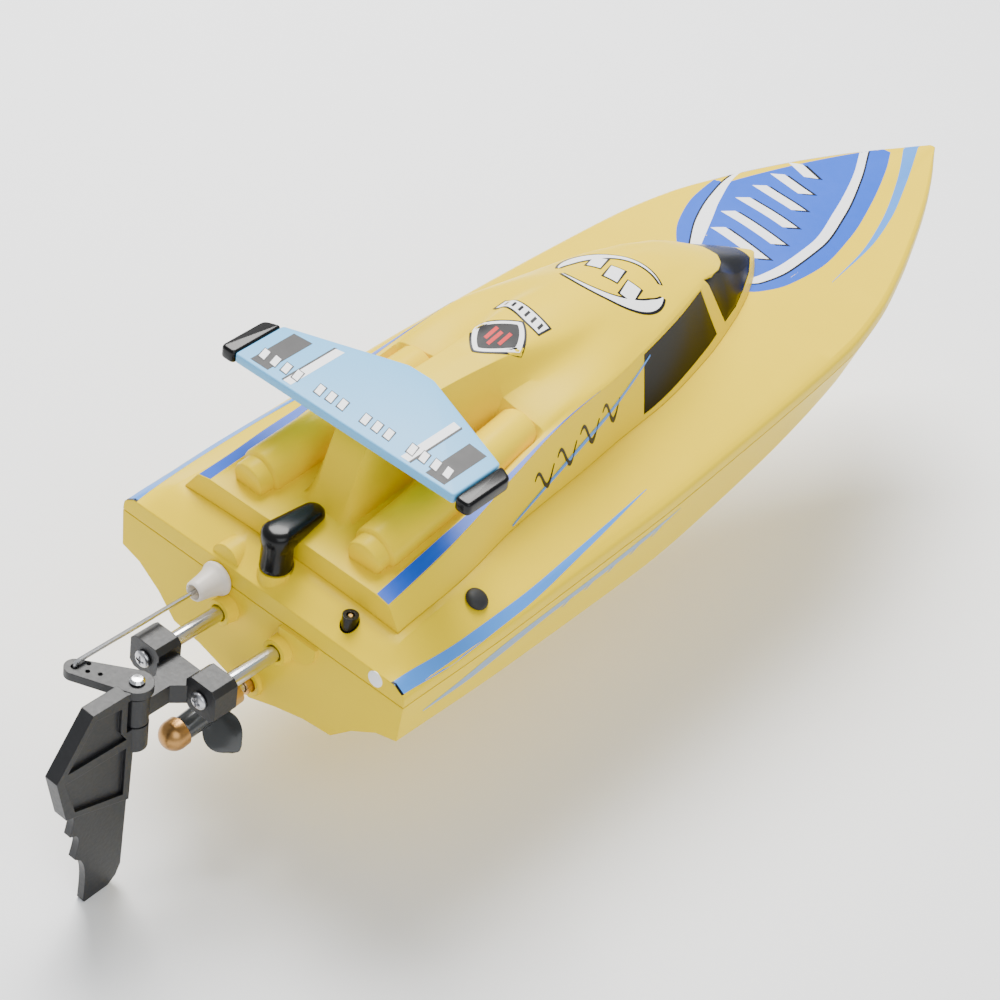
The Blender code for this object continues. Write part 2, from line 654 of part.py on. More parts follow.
def build_deck_fittings():
    seat = LATCH_SEAT_Z + GAP
    latch = solid("latch_knob", lambda bm: cone_in(bm, (0, LATCH_Y, seat), (0, LATCH_Y, 18.6),
                                                   4.0, 3.8), BLACK, (0, LATCH_Y, seat))
    outline = arc(0, LATCH_Y, 4.3, 15, 165, 10) + arc(0, -16.3, 3.0, 185, 355, 10)

    def lever(bm):
        rings = []
        for z, shrink in ((17.2, 0.75), (18.3, 0.95), (19.8, 1.0), (21.2, 0.82), (21.9, 0.45)):
            rise = 0.145 if z < 18 else 0.1 if z < 19 else 0.0
            rings.append([(x * shrink, -10.6 + (y + 10.6) * (0.5 + 0.5 * shrink),
                           z + rise * max(-9.0 - y, 0.0)) for x, y in outline])
        ring_loft(bm, rings)

    join(latch, "latch_lever", lever)
    cut(latch, "latch_screw_bore", lambda bm: cone_in(bm, (0, LATCH_Y, 5), (0, LATCH_Y, 17.6),
                                                      1.5, 1.5))
    turned("latch_screw", [(0, -1.2), (1.5, -1.0), (2.4, -0.4), (2.4, 0), (1.2, 0), (1.2, 14.5),
                           (0, 14.5)], (0, LATCH_Y, 3.1 - GAP), (0, 0, 1), STEEL, 20)
    turned("antenna_socket", [(2.0, -3.2), (2.0, 5.0), (1.0, 5.0), (1.0, -3.2)],
           (-24.5, -4.8, 7.7), (0, 0, -1), BLACK, 20, tube=True)
    base, up = drain_axis()
    turned("drain_plug", [(0, -1.7), (1.6, -1.4), (2.7, -0.7), (3.0, 0), (1.8, 0), (1.8, 4.0),
                          (0, 4.0)], base + up * 0.55, -up, RUBBER, 20)


def build_bracket():
    for side, label in ((1, "port"), (-1, "starboard")):
        turned("tube_" + label, [(2.0, 0), (2.0, 32.0), (1.3, 32.0), (1.3, 0)],
               (side * TUBE_X, 25.8, TUBE_Z), (0, -1, 0), STEEL, 20, tube=True)
        turned("clamp_screw_" + label, [(0, -1.5), (1.4, -1.3), (2.2, -0.5), (2.2, 0), (1.0, 0),
                                        (1.0, 7.0), (0, 7.0)],
               (side * TUBE_X, BRACKET_AFT + GAP, TUBE_Z), (0, -1, 0), STEEL, 16)

    def cup(bm, side):
        x, z, r, c = side * TUBE_X, TUBE_Z, 4.8, 1.4
        outline = [(x - r, z - r + c), (x - r + c, z - r), (x + r - c, z - r), (x + r, z - r + c),
                   (x + r, z + r - c), (x + r - c, z + r), (x - r + c, z + r), (x - r, z + r - c)]
        prism_in(bm, outline, BRACKET_FWD, BRACKET_AFT, "xz")

    def arm(bm):
        outline = [(-6.0, 21.6), (6.0, 21.6), (6.0, 26.4), (2.4, 30.5), (2.4, HINGE_Y),
                   (-2.4, HINGE_Y), (-2.4, 30.5), (-6.0, 26.4)]
        prism_in(bm, outline, -11.2, -5.6)

    bracket = solid("rudder_bracket", lambda bm: cup(bm, 1), NYLON, smooth=20)
    join(bracket, "cup_starboard", lambda bm: cup(bm, -1))
    join(bracket, "bracket_arm", arm)
    join(bracket, "hinge_barrel", lambda bm: cone_in(bm, (0, HINGE_Y, -12.6), (0, HINGE_Y, -4.2),
                                                     3.2, 3.2))
    cut(bracket, "barrel_bore", lambda bm: cone_in(bm, (0, HINGE_Y, -15), (0, HINGE_Y, -2),
                                                   1.3, 1.3, 20))
    for side, label in ((1, "port"), (-1, "starboard")):
        cut(bracket, "cup_bore_" + label, lambda bm, s=side: cone_in(
            bm, (s * TUBE_X, 15, TUBE_Z), (s * TUBE_X, 26.1, TUBE_Z), 2.3, 2.3, 20))
        cut(bracket, "screw_bore_" + label, lambda bm, s=side: cone_in(
            bm, (s * TUBE_X, 22, TUBE_Z), (s * TUBE_X, 30, TUBE_Z), 1.3, 1.3, 16))
    turned("rudder_pin", [(0, -1.0), (1.3, -0.8), (1.9, -0.2), (1.9, 0), (1.0, 0), (1.0, 18.6),
                          (0, 18.6)], (0, HINGE_Y, TILLER_TOP + GAP), (0, 0, -1), STEEL, 20)


def build_rudder():
    pivot = (0, HINGE_Y, TILLER_TOP)
    upper = [(43.2, -4.0), (43.2, -0.8), (53.8, -0.8), (64.1, -15.8), (60.6, -31.4),
             (41.3, -36.0), (40.8, -20.4), (42.0, -13.0), (43.2, -12.9)]
    lower = [(41.3, -34.0), (60.2, -29.5), (57.1, -45.8), (52.5, -62.8), (45.7, -64.0),
             (41.9, -59.6)]
    rudder = solid("rudder", lambda bm: prism_in(bm, upper, -2.0, 2.0, "yz"), NYLON, pivot,
                   smooth=20)
    join(rudder, "blade", lambda bm: prism_in(bm, lower, -1.1, 1.1, "yz"))
    join(rudder, "lower_lug", lambda bm: cone_in(bm, (0, HINGE_Y, -20.4), (0, HINGE_Y, -12.9),
                                                 3.3, 3.3))
    join(rudder, "lug_web", lambda bm: box_in(bm, (-2.0, HINGE_Y, -20.4), (2.0, 44.0, -12.95)))

    def tiller(bm):
        ax, ay = TILLER
        length = hypot(ax, ay - HINGE_Y)
        ux, uy = ax / length, (ay - HINGE_Y) / length
        start = atan2(uy, ux) * 180 / pi
        outline = arc(0, HINGE_Y, 4.0, start + 90, start + 270, 10)
        outline += arc(ax, ay, 2.6, start - 90, start + 90, 8)
        prism_in(bm, outline, -3.2, TILLER_TOP)

    join(rudder, "tiller", tiller)
    join(rudder, "plate_web", lambda bm: box_in(bm, (-2.0, HINGE_Y, -3.2), (2.0, 44.5, -1.0)))
    cut(rudder, "pin_bore", lambda bm: cone_in(bm, (0, HINGE_Y, -20), (0, HINGE_Y, 5), 1.3, 1.3,
                                               20))
    cut(rudder, "tiller_hole", lambda bm: cone_in(bm, (*TILLER, -5), (*TILLER, 5), 0.95, 0.95, 16))
    inner = [(8.9, 44.4), (5.4, 42.2)]
    for i, (x, y) in enumerate(inner):
        cut(rudder, "spare_hole_%d" % i, lambda bm, a=x, b=y: cone_in(bm, (a, b, -5), (a, b, 5),
                                                                     0.8, 0.8, 12))
    pocket = [(45.0, -4.2), (52.8, -2.9), (60.9, -14.6), (43.0, -15.2), (45.0, -12.0)]
    low_pocket = [(43.0, -18.0), (61.6, -17.4), (58.8, -29.6), (43.2, -33.6)]
    for side, label in ((1, "port"), (-1, "starboard")):
        for shape, part in ((pocket, "upper"), (low_pocket, "lower")):
            cut(rudder, "pocket_%s_%s" % (part, label), lambda bm, s=side, p=shape: prism_in(
                bm, p, s * 1.0, s * 4.0, "yz"))
    return rudder


def build_linkage():
    ax, ay = TILLER
    hx, hy = HORN
    bend = arc(0, 0, 1.2, 0, 90, 3)
    points = [(ax, ay, -3.9), (ax, ay, ROD_Z - 1.2)]
    points += [(ax, ay - 1.2 + c, ROD_Z - 1.2 + s) for c, s in bend[1:]]
    points += [(hx, hy + 1.2, ROD_Z)]
    points += [(hx, hy + 1.2 - s, ROD_Z + 1.2 - c) for c, s in bend[1:]]
    points += [(hx, hy, ROD_Z + 6.0)]
    rod("pushrod", points, ROD_R, STEEL, (ax, ay, ROD_Z))
    turned("pushrod_boot", [(2.1, -8.6), (2.5, -8.3), (2.8, -5.6), (3.4, -2.6), (4.3, -1.4),
                            (4.3, 0), (2.3, 0), (2.1, -2.0)],
           (ax, GAP, ROD_Z), (0, -1, 0), SILICONE, 24, tube=True)


def build_driveline():
    slope = atan2(SHAFT_SLOPE, 1.0)
    forward = Vector((0, -cos(slope), sin(slope)))
    turned("stuffing_tube", [(2.5, 0), (2.5, 72), (1.8, 72), (1.8, 0)], shaft_point(3.0), forward,
           BRASS, 20, tube=True)
    turned("drive_shaft", [(0, 0), (1.5, 0.3), (1.5, 107), (0, 107)], shaft_point(27.2), forward,
           STEEL, 20)
    turned("shaft_coupling", [(4.2, 0), (4.2, 15), (1.8, 15), (1.8, 0)], shaft_point(-72.0),
           forward, BRASS, 20, tube=True)
    turned("drive_dog", [(3.3, 0), (3.3, 3.4), (1.8, 3.4), (1.8, 0)], shaft_point(8.6), forward,
           BRASS, 20, tube=True)
    turned("prop_nut", [(0, -0.2), (1.7, 0.1), (3.1, 1.0), (3.9, 2.7), (3.9, 5.2), (1.8, 5.2),
                        (1.8, 1.6), (0, 1.2)], shaft_point(28.6), forward, STEEL, 20)
    turned("motor_shaft", [(0, 0), (1.5, 0), (1.5, 9.5), (0, 9.5)],
           shaft_point(-80.4), forward, STEEL, 20)
    turned("motor", [(0, 3.0), (2.0, 3.0), (2.0, 0.0), (4.0, 0.0), (4.0, 2.0), (MOTOR_R, 2.0),
                     (MOTOR_R, 30), (4.0, 30), (4.0, 32.0), (0, 32.0)],
           shaft_point(MOTOR_REAR + 1.5), forward, STEEL, 28)
    build_propeller(slope)
    build_motor_mount()


def build_propeller(slope):
    centre = shaft_point(14.5)
    turn = Matrix.Rotation(-slope, 4, "X")

    def blade(bm, sign):
        rings = []
        for r, half, pitch in ((2.4, 3.4, 58), (5.0, 4.6, 44), (8.0, 5.2, 33), (10.6, 4.2, 27),
                               (PROP_R, 1.6, 24)):
            a = radians(pitch)
            ring = []
            for u, t in ((-1, 0.0), (-0.4, 0.55), (0.5, 0.5), (1, 0.0), (0.5, -0.5), (-0.4, -0.55)):
                c, n = u * half, t
                ring.append((sign * (n * sin(a) - c * cos(a)), c * sin(a) + n * cos(a), r * sign))
            rings.append(ring)
        ring_loft(bm, rings)

    def hub(bm):
        cone_in(bm, (0, -5.3, 0), (0, 8.4, 0), 3.5, 3.0)

    prop = solid("propeller", hub, BLACK, smooth=35)
    for sign, label in ((1, "a"), (-1, "b")):
        tool = cutter("prop_blade_" + label, lambda bm, s=sign: blade(bm, s))
        tool.location = Vector(centre) * MM
        tool.rotation_euler = (-slope, radians(62), 0)
        tool.rotation_mode = "XYZ"
        boolean(prop, tool, "UNION")
    bore = cutter("prop_bore", lambda bm: cone_in(bm, (0, -10, 0), (0, 12, 0), 1.8, 1.8, 20))
    bore.location = Vector(centre) * MM
    bore.rotation_euler = (-slope, 0, 0)
    boolean(prop, bore)
    prop.location = Vector(centre) * MM
    prop.rotation_euler = (-slope, 0, 0)


def build_motor_mount():
    y = MOTOR_REAR + 2.6
    centre = shaft_point(y)
    outline = [(-13.5, -23.6), (-8.5, -25.0), (0, -28.2), (8.5, -25.0), (13.5, -23.6),
               (13.5, -6.0), (10.0, -3.0), (-10.0, -3.0), (-13.5, -6.0)]
    mount = solid("motor_mount", lambda bm: prism_in(bm, outline, y - 0.9, y + 0.9, "xz"), STEEL,
                  smooth=0, bevel=0.25)
    cut(mount, "mount_bore", lambda bm: cone_in(bm, shaft_point(y - 5), shaft_point(y + 5), 4.5,
                                                4.5))
    for side, label in ((1, "port"), (-1, "starboard")):
        cut(mount, "mount_hole_" + label, lambda bm, s=side: cone_in(
            bm, (s * 7.4, y - 5, centre[2]), (s * 7.4, y + 5, centre[2]), 1.3, 1.3, 16))
        turned("motor_screw_" + label, [(0, -1.2), (1.4, -1.0), (2.1, -0.3), (2.1, 0), (1.0, 0),
                                        (1.0, 2.6), (0, 2.6)],
               (side * 7.4, y + 0.9 + GAP, centre[2]), (0, -1, 0), STEEL, 16)


def build_electrics():
    sx, sy = SERVO_AXIS

    def case(bm):
        box_in(bm, (sx - 6, -49.6, -13.6), (sx + 6, -27.0, 1.6))

    servo = solid("servo_case", case, BLACK, smooth=0, bevel=0.3)
    join(servo, "servo_ears", lambda bm: box_in(bm, (sx - 5.8, -54.4, -3.4), (sx + 5.8, -22.2,
                                                                             -1.2)))
    join(servo, "servo_turret", lambda bm: cone_in(bm, (sx, sy, 0), (sx, sy, 3.4), 4.6, 4.4))
    join(servo, "servo_spline", lambda bm: cone_in(bm, (sx, sy, 3.0), (sx, sy, 6.2), 1.8, 1.8))

    def horn(bm):
        ax, ay = HORN[0] - sx, HORN[1] - sy
        length = hypot(ax, ay)
        start = atan2(ay, ax) * 180 / pi
        outline = arc(sx, sy, 3.6, start + 90, start + 270, 8)
        outline += arc(HORN[0], HORN[1], 2.6, start - 90, start + 90, 8)
        prism_in(bm, outline, 3.75, 5.35)

    arm = solid("servo_horn", horn, SILICONE, (sx, sy, 3.75), smooth=30)
    cut(arm, "horn_bore", lambda bm: cone_in(bm, (sx, sy, 2), (sx, sy, 8), 2.1, 2.1, 20))
    cut(arm, "horn_hole", lambda bm: cone_in(bm, (*HORN, 2), (*HORN, 8), 1.4, 1.4, 16))

    def tray(bm):
        outline = [(-38, -5.6), (-24, -3.75), (24, -3.75), (38, -5.6), (38, -8.2), (24, -6.4),
                   (-24, -6.4), (-38, -8.2)]
        prism_in(bm, [(x, z) for x, z in outline], -56.0, -20.0, "xz")

    plate = solid("servo_tray", tray, PLY, smooth=0)
    cut(plate, "tray_slot", lambda bm: box_in(bm, (sx - 6.4, -50.0, -20), (sx + 6.4, -26.6, 10)))
    for y, label in ((-52.2, "front"), (-24.4, "rear")):
        cut(servo, "ear_hole_" + label, lambda bm, yy=y: cone_in(bm, (sx, yy, -8), (sx, yy, 4),
                                                                 1.2, 1.2, 16))
        cut(plate, "tray_hole_" + label, lambda bm, yy=y: cone_in(bm, (sx, yy, -12), (sx, yy, 4),
                                                                  1.2, 1.2, 16))
        turned("servo_screw_" + label, [(0, -1.1), (1.4, -0.9), (2.0, -0.3), (2.0, 0), (0.9, 0),
                                        (0.9, 6.0), (0, 6.0)],
               (sx, y, -1.2 + GAP), (0, 0, -1), STEEL, 16)

    cradle = [(-11, -19.3), (11, -19.3), (11, -22.2), (0, -27.8), (-11, -22.2)]
    solid("battery_cradle", lambda bm: prism_in(bm, cradle, -176.0, -128.0, "xz"), PLY, smooth=0)
    solid("battery", lambda bm: box_in(bm, (-15.0, -182.0, -19.0), (15.0, -123.5, -2.5)), BATTERY,
          smooth=0, bevel=1.2, segments=2)
    strap = [(-16.6, -17.0), (-16.6, -1.2), (16.6, -1.2), (16.6, -17.0), (15.3, -17.0),
             (15.3, -2.2), (-15.3, -2.2), (-15.3, -17.0)]
    solid("battery_strap", lambda bm: prism_in(bm, strap, -164.0, -150.0, "xz"), RUBBER, smooth=0)
    pad = [(-29.0, -17.3), (-12.0, -17.3), (-12.0, -23.9), (-20.5, -22.2), (-25.5, -21.4),
           (-29.0, -18.6)]
    solid("receiver_pad", lambda bm: prism_in(bm, pad, -82.0, -61.0, "xz"), RUBBER, smooth=0)
    solid("receiver", lambda bm: box_in(bm, (-29.5, -84.5, -17.0), (-11.5, -58.5, -4.6)), BLACK,
          smooth=0, bevel=0.8)


# ---- build -------------------------------------------------------------------------------------
clear_scene()
PARTS = new_collection("rc_boat")
CUTTERS = new_collection("cutters")
BOAT = bpy.data.objects.new("hull_frame", None)
PARTS.objects.link(BOAT)
BOAT.location = (0.0, TRANSOM_Y * MM, PARTING_Z * MM)

YELLOW = material("abs_yellow", (0.98, 0.74, 0.03), 0.25)
BLUE = material("abs_light_blue", (0.38, 0.62, 0.8), 0.3)
BLACK = material("abs_black", (0.02, 0.02, 0.022), 0.25)
GLASS = material("window_dark", (0.015, 0.016, 0.02), 0.12)
NYLON = material("nylon_dark", (0.03, 0.032, 0.036), 0.5)
STEEL = material("stainless", (0.62, 0.62, 0.62), 0.25, 1.0)
BRASS = material("brass", (0.72, 0.52, 0.2), 0.3, 1.0)
SILICONE = material("silicone_white", (0.8, 0.8, 0.78), 0.5)
RUBBER = material("rubber_black", (0.02, 0.02, 0.02), 0.8)
PLY = material("plywood", (0.5, 0.34, 0.18), 0.7)
BATTERY = material("battery_sleeve", (0.05, 0.12, 0.4), 0.4)

build_hull()
build_deck()
build_wing(build_canopy())
build_deck_fittings()
build_bracket()
build_rudder()
build_linkage()
build_driveline()
build_electrics()
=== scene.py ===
"""Looks for the radio-controlled speedboat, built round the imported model.

Lines are in the hull frame of the design (millimetres, x to port, y aft with the transom at
0, z up from the parting line) and are placed in the world by TRANSOM_Y and PARTING_Z.
"""
from math import atan2, cos, degrees, hypot, pi, radians, sin

import bmesh
import bpy
from mathutils import Matrix, Vector

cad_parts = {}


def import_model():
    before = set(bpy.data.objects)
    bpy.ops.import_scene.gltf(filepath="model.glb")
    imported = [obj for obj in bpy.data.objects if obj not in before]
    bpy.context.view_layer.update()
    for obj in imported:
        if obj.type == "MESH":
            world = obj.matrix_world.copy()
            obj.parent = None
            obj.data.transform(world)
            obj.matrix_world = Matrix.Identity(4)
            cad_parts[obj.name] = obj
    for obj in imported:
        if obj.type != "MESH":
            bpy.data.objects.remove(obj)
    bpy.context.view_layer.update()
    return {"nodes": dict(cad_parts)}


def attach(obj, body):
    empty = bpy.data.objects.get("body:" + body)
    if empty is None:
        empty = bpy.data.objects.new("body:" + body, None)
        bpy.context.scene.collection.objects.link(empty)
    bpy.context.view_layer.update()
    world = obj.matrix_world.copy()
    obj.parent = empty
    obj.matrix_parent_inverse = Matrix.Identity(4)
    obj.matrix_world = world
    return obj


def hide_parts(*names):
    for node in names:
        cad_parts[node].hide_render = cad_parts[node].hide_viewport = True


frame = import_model()

MM = 0.001
TRANSOM_Y = 117.95
PARTING_Z = 64.0
GAP = 0.3
WALL = 1.4
HINGE_Y = 38.8
TILLER = (13.0, 46.0)
ROD_Z = 0.3
TUBE_X = 9.4
TUBE_Z = -7.0
SHAFT_Z = -26.3
SHAFT_Y = 20.0
SHAFT_SLOPE = 0.0875
LATCH_Y = -4.9
LATCH_SCREW_R = 1.5
SIDES = ((1, "port"), (-1, "starboard"))
ANTENNA = (-24.5, -4.8)
DRAIN = (39.4, 32.8)
WING_SCREW_Y = (-37.0, -46.0)
SHELL_WALL = 1.6
CABIN_REAR = 9.3
CABIN_TIP = 199.0
CABIN_HOLLOW_TIP = 190.5
WINDOW_GAP = 0.15
SHADE_LIFT = 0.12
PRINT_LIFT = 0.17


def world(x, y, z):
    return Vector((x, y + TRANSOM_Y, z + PARTING_Z)) * MM


def linear(channel):
    c = channel / 255
    return c / 12.92 if c <= 0.04045 else ((c + 0.055) / 1.055) ** 2.4


def srgb(r, g, b):
    return (linear(r), linear(g), linear(b), 1.0)


# ---- materials
def surface(name, colour, roughness=0.3, metallic=0.0, coat=0.0, grain=120.0, vary=0.04,
            bump=0.05, edge=0.0, transmission=0.0, streak=None, gloss=0.5):
    """Procedural finish: colour and roughness drift a little, and the surface has a fine bump."""
    mat = bpy.data.materials.new(name)
    mat.use_nodes = True
    nodes, links = mat.node_tree.nodes, mat.node_tree.links
    shader = nodes["Principled BSDF"]
    shader.inputs["Metallic"].default_value = metallic
    shader.inputs["Coat Weight"].default_value = coat
    shader.inputs["Specular IOR Level"].default_value = gloss
    shader.inputs["Coat Roughness"].default_value = 0.06
    shader.inputs["Transmission Weight"].default_value = transmission
    place = nodes.new("ShaderNodeTexCoord")
    stretch = nodes.new("ShaderNodeMapping")
    stretch.inputs["Scale"].default_value = streak or (1.0, 1.0, 1.0)
    links.new(place.outputs["Object"], stretch.inputs["Vector"])
    cloud = nodes.new("ShaderNodeTexNoise")
    cloud.inputs["Scale"].default_value = grain
    cloud.inputs["Detail"].default_value = 4.0
    links.new(stretch.outputs["Vector"], cloud.inputs["Vector"])
    tint = nodes.new("ShaderNodeMix")
    tint.data_type = "RGBA"
    tint.inputs["A"].default_value = tuple(c * (1 - vary) for c in colour[:3]) + (1.0,)
    tint.inputs["B"].default_value = tuple(min(c * (1 + vary), 1.0) for c in colour[:3]) + (1.0,)
    links.new(cloud.outputs["Fac"], tint.inputs["Factor"])
    links.new(tint.outputs["Result"], shader.inputs["Base Color"])
    rough = nodes.new("ShaderNodeMapRange")
    rough.inputs["To Min"].default_value = roughness * 0.85
    rough.inputs["To Max"].default_value = roughness * 1.15
    links.new(cloud.outputs["Fac"], rough.inputs["Value"])
    links.new(rough.outputs["Result"], shader.inputs["Roughness"])
    relief = nodes.new("ShaderNodeBump")
    relief.inputs["Strength"].default_value = bump
    relief.inputs["Distance"].default_value = 0.0002
    links.new(cloud.outputs["Fac"], relief.inputs["Height"])
    if edge:
        soften = nodes.new("ShaderNodeBevel")
        soften.samples = 4
        soften.inputs["Radius"].default_value = edge * MM
        links.new(soften.outputs["Normal"], relief.inputs["Normal"])
    links.new(relief.outputs["Normal"], shader.inputs["Normal"])
    return mat


def decal(name, colour, gloss=0.3, vary=0.03):
    """Smooth printed film."""
    return surface(name, colour, 0.34, gloss=gloss, grain=300, vary=vary, bump=0.01)


YELLOW = surface("yellow_abs", srgb(240, 206, 0), 0.34, gloss=0.12, grain=90, vary=0.02,
                 bump=0.02, edge=0.5)
BLUE_WING = surface("light_blue_abs", srgb(112, 190, 240), 0.34, gloss=0.25, grain=90, vary=0.02,
                    bump=0.02, edge=0.35)
BLUE = decal("decal_blue", srgb(28, 88, 205))
SLATE = surface("decal_slate", srgb(120, 150, 180), 0.35, coat=0.2, grain=300, vary=0.06,
                bump=0.01)
SKY = decal("decal_sky", srgb(70, 140, 225))
WHITE = decal("decal_white", srgb(250, 250, 252), vary=0.02)
INK = decal("decal_black", srgb(10, 10, 15), gloss=0.25, vary=0.1)
RED = decal("decal_red", srgb(205, 10, 20), gloss=0.25)
BLACK = surface("gloss_black", srgb(7, 7, 8), 0.24, coat=0.05, gloss=0.25, vary=0.1, bump=0.03,
                edge=0.3)
GLASS = surface("window_black", srgb(3, 3, 4), 0.2, gloss=0.08, grain=80, vary=0.1, bump=0.01)
PROP = surface("propeller_nylon", srgb(44, 46, 46), 0.25, coat=0.3, grain=300, vary=0.08, bump=0.05)
NYLON = surface("nylon_black", srgb(12, 13, 16), 0.46, grain=900, vary=0.12, bump=0.25, edge=0.3)
STEEL = surface("stainless", srgb(205, 205, 206), 0.24, metallic=1.0, grain=400, vary=0.06,
                bump=0.06, streak=(1, 0.05, 1))
SCREW = surface("screw_steel", srgb(190, 190, 192), 0.3, metallic=1.0, grain=700, vary=0.1,
                bump=0.08)
BRASS = surface("brass", srgb(196, 158, 96), 0.3, metallic=1.0, grain=500, vary=0.08, bump=0.08)
DULL_BRASS = surface("turned_brass", srgb(170, 128, 76), 0.34, metallic=1.0, grain=600, vary=0.12,
                     bump=0.1)
SILICONE = surface("silicone", srgb(244, 236, 226), 0.4, grain=260, vary=0.03, bump=0.1,
                   transmission=0.3)
RUBBER = surface("rubber", srgb(24, 24, 26), 0.6, grain=700, vary=0.12, bump=0.2)
PLYWOOD = surface("plywood", srgb(196, 160, 112), 0.7, grain=240, vary=0.12, bump=0.2,
                  streak=(1, 0.08, 1))
SLEEVE = surface("battery_sleeve", srgb(30, 66, 150), 0.35, coat=0.3, grain=150, vary=0.06,
                 bump=0.06)
WHITE_NYLON = surface("white_nylon", srgb(232, 232, 228), 0.5, grain=600, vary=0.03, bump=0.12)
CAN = surface("motor_can", srgb(150, 152, 156), 0.3, metallic=1.0, grain=500, vary=0.06, bump=0.06)


# ---- helpers
def place_mesh(name, build, mat, body, smooth=30):
    """Mesh from hull-frame millimetres, riding on a body of the model where one is named."""
    bm = bmesh.new()
    build(bm)
    bmesh.ops.recalc_face_normals(bm, faces=bm.faces)
    bmesh.ops.translate(bm, vec=(0.0, TRANSOM_Y, PARTING_Z), verts=bm.verts)
    bmesh.ops.scale(bm, vec=(MM, MM, MM), verts=bm.verts)
    mesh = bpy.data.meshes.new(name)
    bm.to_mesh(mesh)
    bm.free()
    obj = bpy.data.objects.new(name, mesh)
    bpy.context.scene.collection.objects.link(obj)
    if mat:
        mesh.materials.append(mat)
    mesh.shade_smooth()
    if smooth:
        mesh.set_sharp_from_angle(angle=radians(smooth))
    if body:
        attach(obj, body)
    return obj


def boolean(obj, tool, operation="DIFFERENCE"):
    mod = obj.modifiers.new(tool.name, "BOOLEAN")
    mod.operation = operation
    mod.object = tool
    mod.solver = "EXACT"


def bake(obj):
    """Replace the mesh by its evaluated result, so that tools can be removed."""
    bpy.context.view_layer.update()
    graph = bpy.context.evaluated_depsgraph_get()
    mesh = bpy.data.meshes.new_from_object(obj.evaluated_get(graph))
    obj.modifiers.clear()
    obj.data = mesh


def carve(obj, tools, smooth=30):
    """Apply boolean tools, given as (operation, build), and drop them again."""
    made = []
    for operation, build in tools:
        tool = place_mesh("tool", build, None, None, smooth=0)
        tool.hide_render = True
        boolean(obj, tool, operation)
        made.append(tool)
    bake(obj)
    for tool in made:
        bpy.data.objects.remove(tool, do_unlink=True)
    obj.data.shade_smooth()
    obj.data.set_sharp_from_angle(angle=radians(smooth))


def drill(start, end, radius, segments=24):
    """Tool for carve: a round hole."""
    return ("DIFFERENCE", lambda bm: cone_in(bm, start, end, radius, radius, segments))


def boss(start, end, r1, r2, segments=40):
    """Tool for carve: a round boss, radius r1 at start and r2 at end."""
    return ("UNION", lambda bm: cone_in(bm, start, end, r1, r2, segments))


def plate_tool(operation, outline, lo, hi, axes="xy"):
    """Tool for carve: an outline extruded from lo to hi."""
    return (operation, lambda bm: prism_in(bm, outline, lo, hi, axes))


def track(pairs):
    """Smooth function through (distance, value) pairs, with no overshoot (monotone cubic)."""
    xs = [p[0] for p in pairs]
    vs = [p[1] for p in pairs]
    steps = [(vs[i + 1] - vs[i]) / (xs[i + 1] - xs[i]) for i in range(len(xs) - 1)]
    slopes = [steps[0]]
    for i in range(1, len(xs) - 1):
        a, b = steps[i - 1], steps[i]
        slopes.append(0.0 if a * b <= 0 else 2 * a * b / (a + b))
    slopes.append(steps[-1])

    def value(x):
        x = min(max(x, xs[0]), xs[-1])
        i = 0
        while i < len(xs) - 2 and x > xs[i + 1]:
            i += 1
        h = xs[i + 1] - xs[i]
        t = (x - xs[i]) / h
        a = (1 + 2 * t) * (1 - t) ** 2
        b = t * (1 - t) ** 2
        c = t * t * (3 - 2 * t)
        d = t * t * (t - 1)
        return a * vs[i] + b * h * slopes[i] + c * vs[i + 1] + d * h * slopes[i + 1]

    return value


def box_in(bm, lo, hi):
    size = Vector(hi) - Vector(lo)
    mid = (Vector(hi) + Vector(lo)) / 2
    place = Matrix.Translation(mid) @ Matrix.Diagonal((*size, 1.0))
    bmesh.ops.create_cube(bm, size=1.0, matrix=place)


def cone_in(bm, start, end, r1, r2, segments=24):
    """Round bar from start to end, radius r1 at start and r2 at end."""
    a, b = Vector(start), Vector(end)
    axis = b - a
    turn = Vector((0, 0, 1)).rotation_difference(axis.normalized()).to_matrix().to_4x4()
    place = Matrix.Translation((a + b) / 2) @ turn
    bmesh.ops.create_cone(bm, cap_ends=True, segments=segments, radius1=r1, radius2=r2,
                          depth=axis.length, matrix=place)


def prism_in(bm, outline, lo, hi, axes="xy"):
    """Extrude a closed outline; axes names the outline's two directions."""
    order = {"xy": (0, 1, 2), "yz": (1, 2, 0), "xz": (0, 2, 1)}[axes]

    def point(p, h):
        v = [0.0, 0.0, 0.0]
        v[order[0]], v[order[1]], v[order[2]] = p[0], p[1], h
        return bm.verts.new(v)

    low = [point(p, lo) for p in outline]
    high = [point(p, hi) for p in outline]
    n = len(outline)
    bm.faces.new(low[::-1])
    bm.faces.new(high)
    for i in range(n):
        bm.faces.new([low[i], low[(i + 1) % n], high[(i + 1) % n], high[i]])


def arc(cx, cy, r, start, end, steps):
    """Points on a circle, angles in degrees."""
    return [(cx + r * cos(radians(start + (end - start) * i / steps)),
             cy + r * sin(radians(start + (end - start) * i / steps))) for i in range(steps + 1)]


def ring_loft(bm, rings):
    """Skin closed rings of equal point count, with both ends capped."""
    rows = [[bm.verts.new(p) for p in ring] for ring in rings]
    n = len(rings[0])
    for a, b in zip(rows, rows[1:]):
        for i in range(n):
            bm.faces.new([a[i], a[(i + 1) % n], b[(i + 1) % n], b[i]])
    bm.faces.new(rows[0][::-1])
    bm.faces.new(rows[-1])


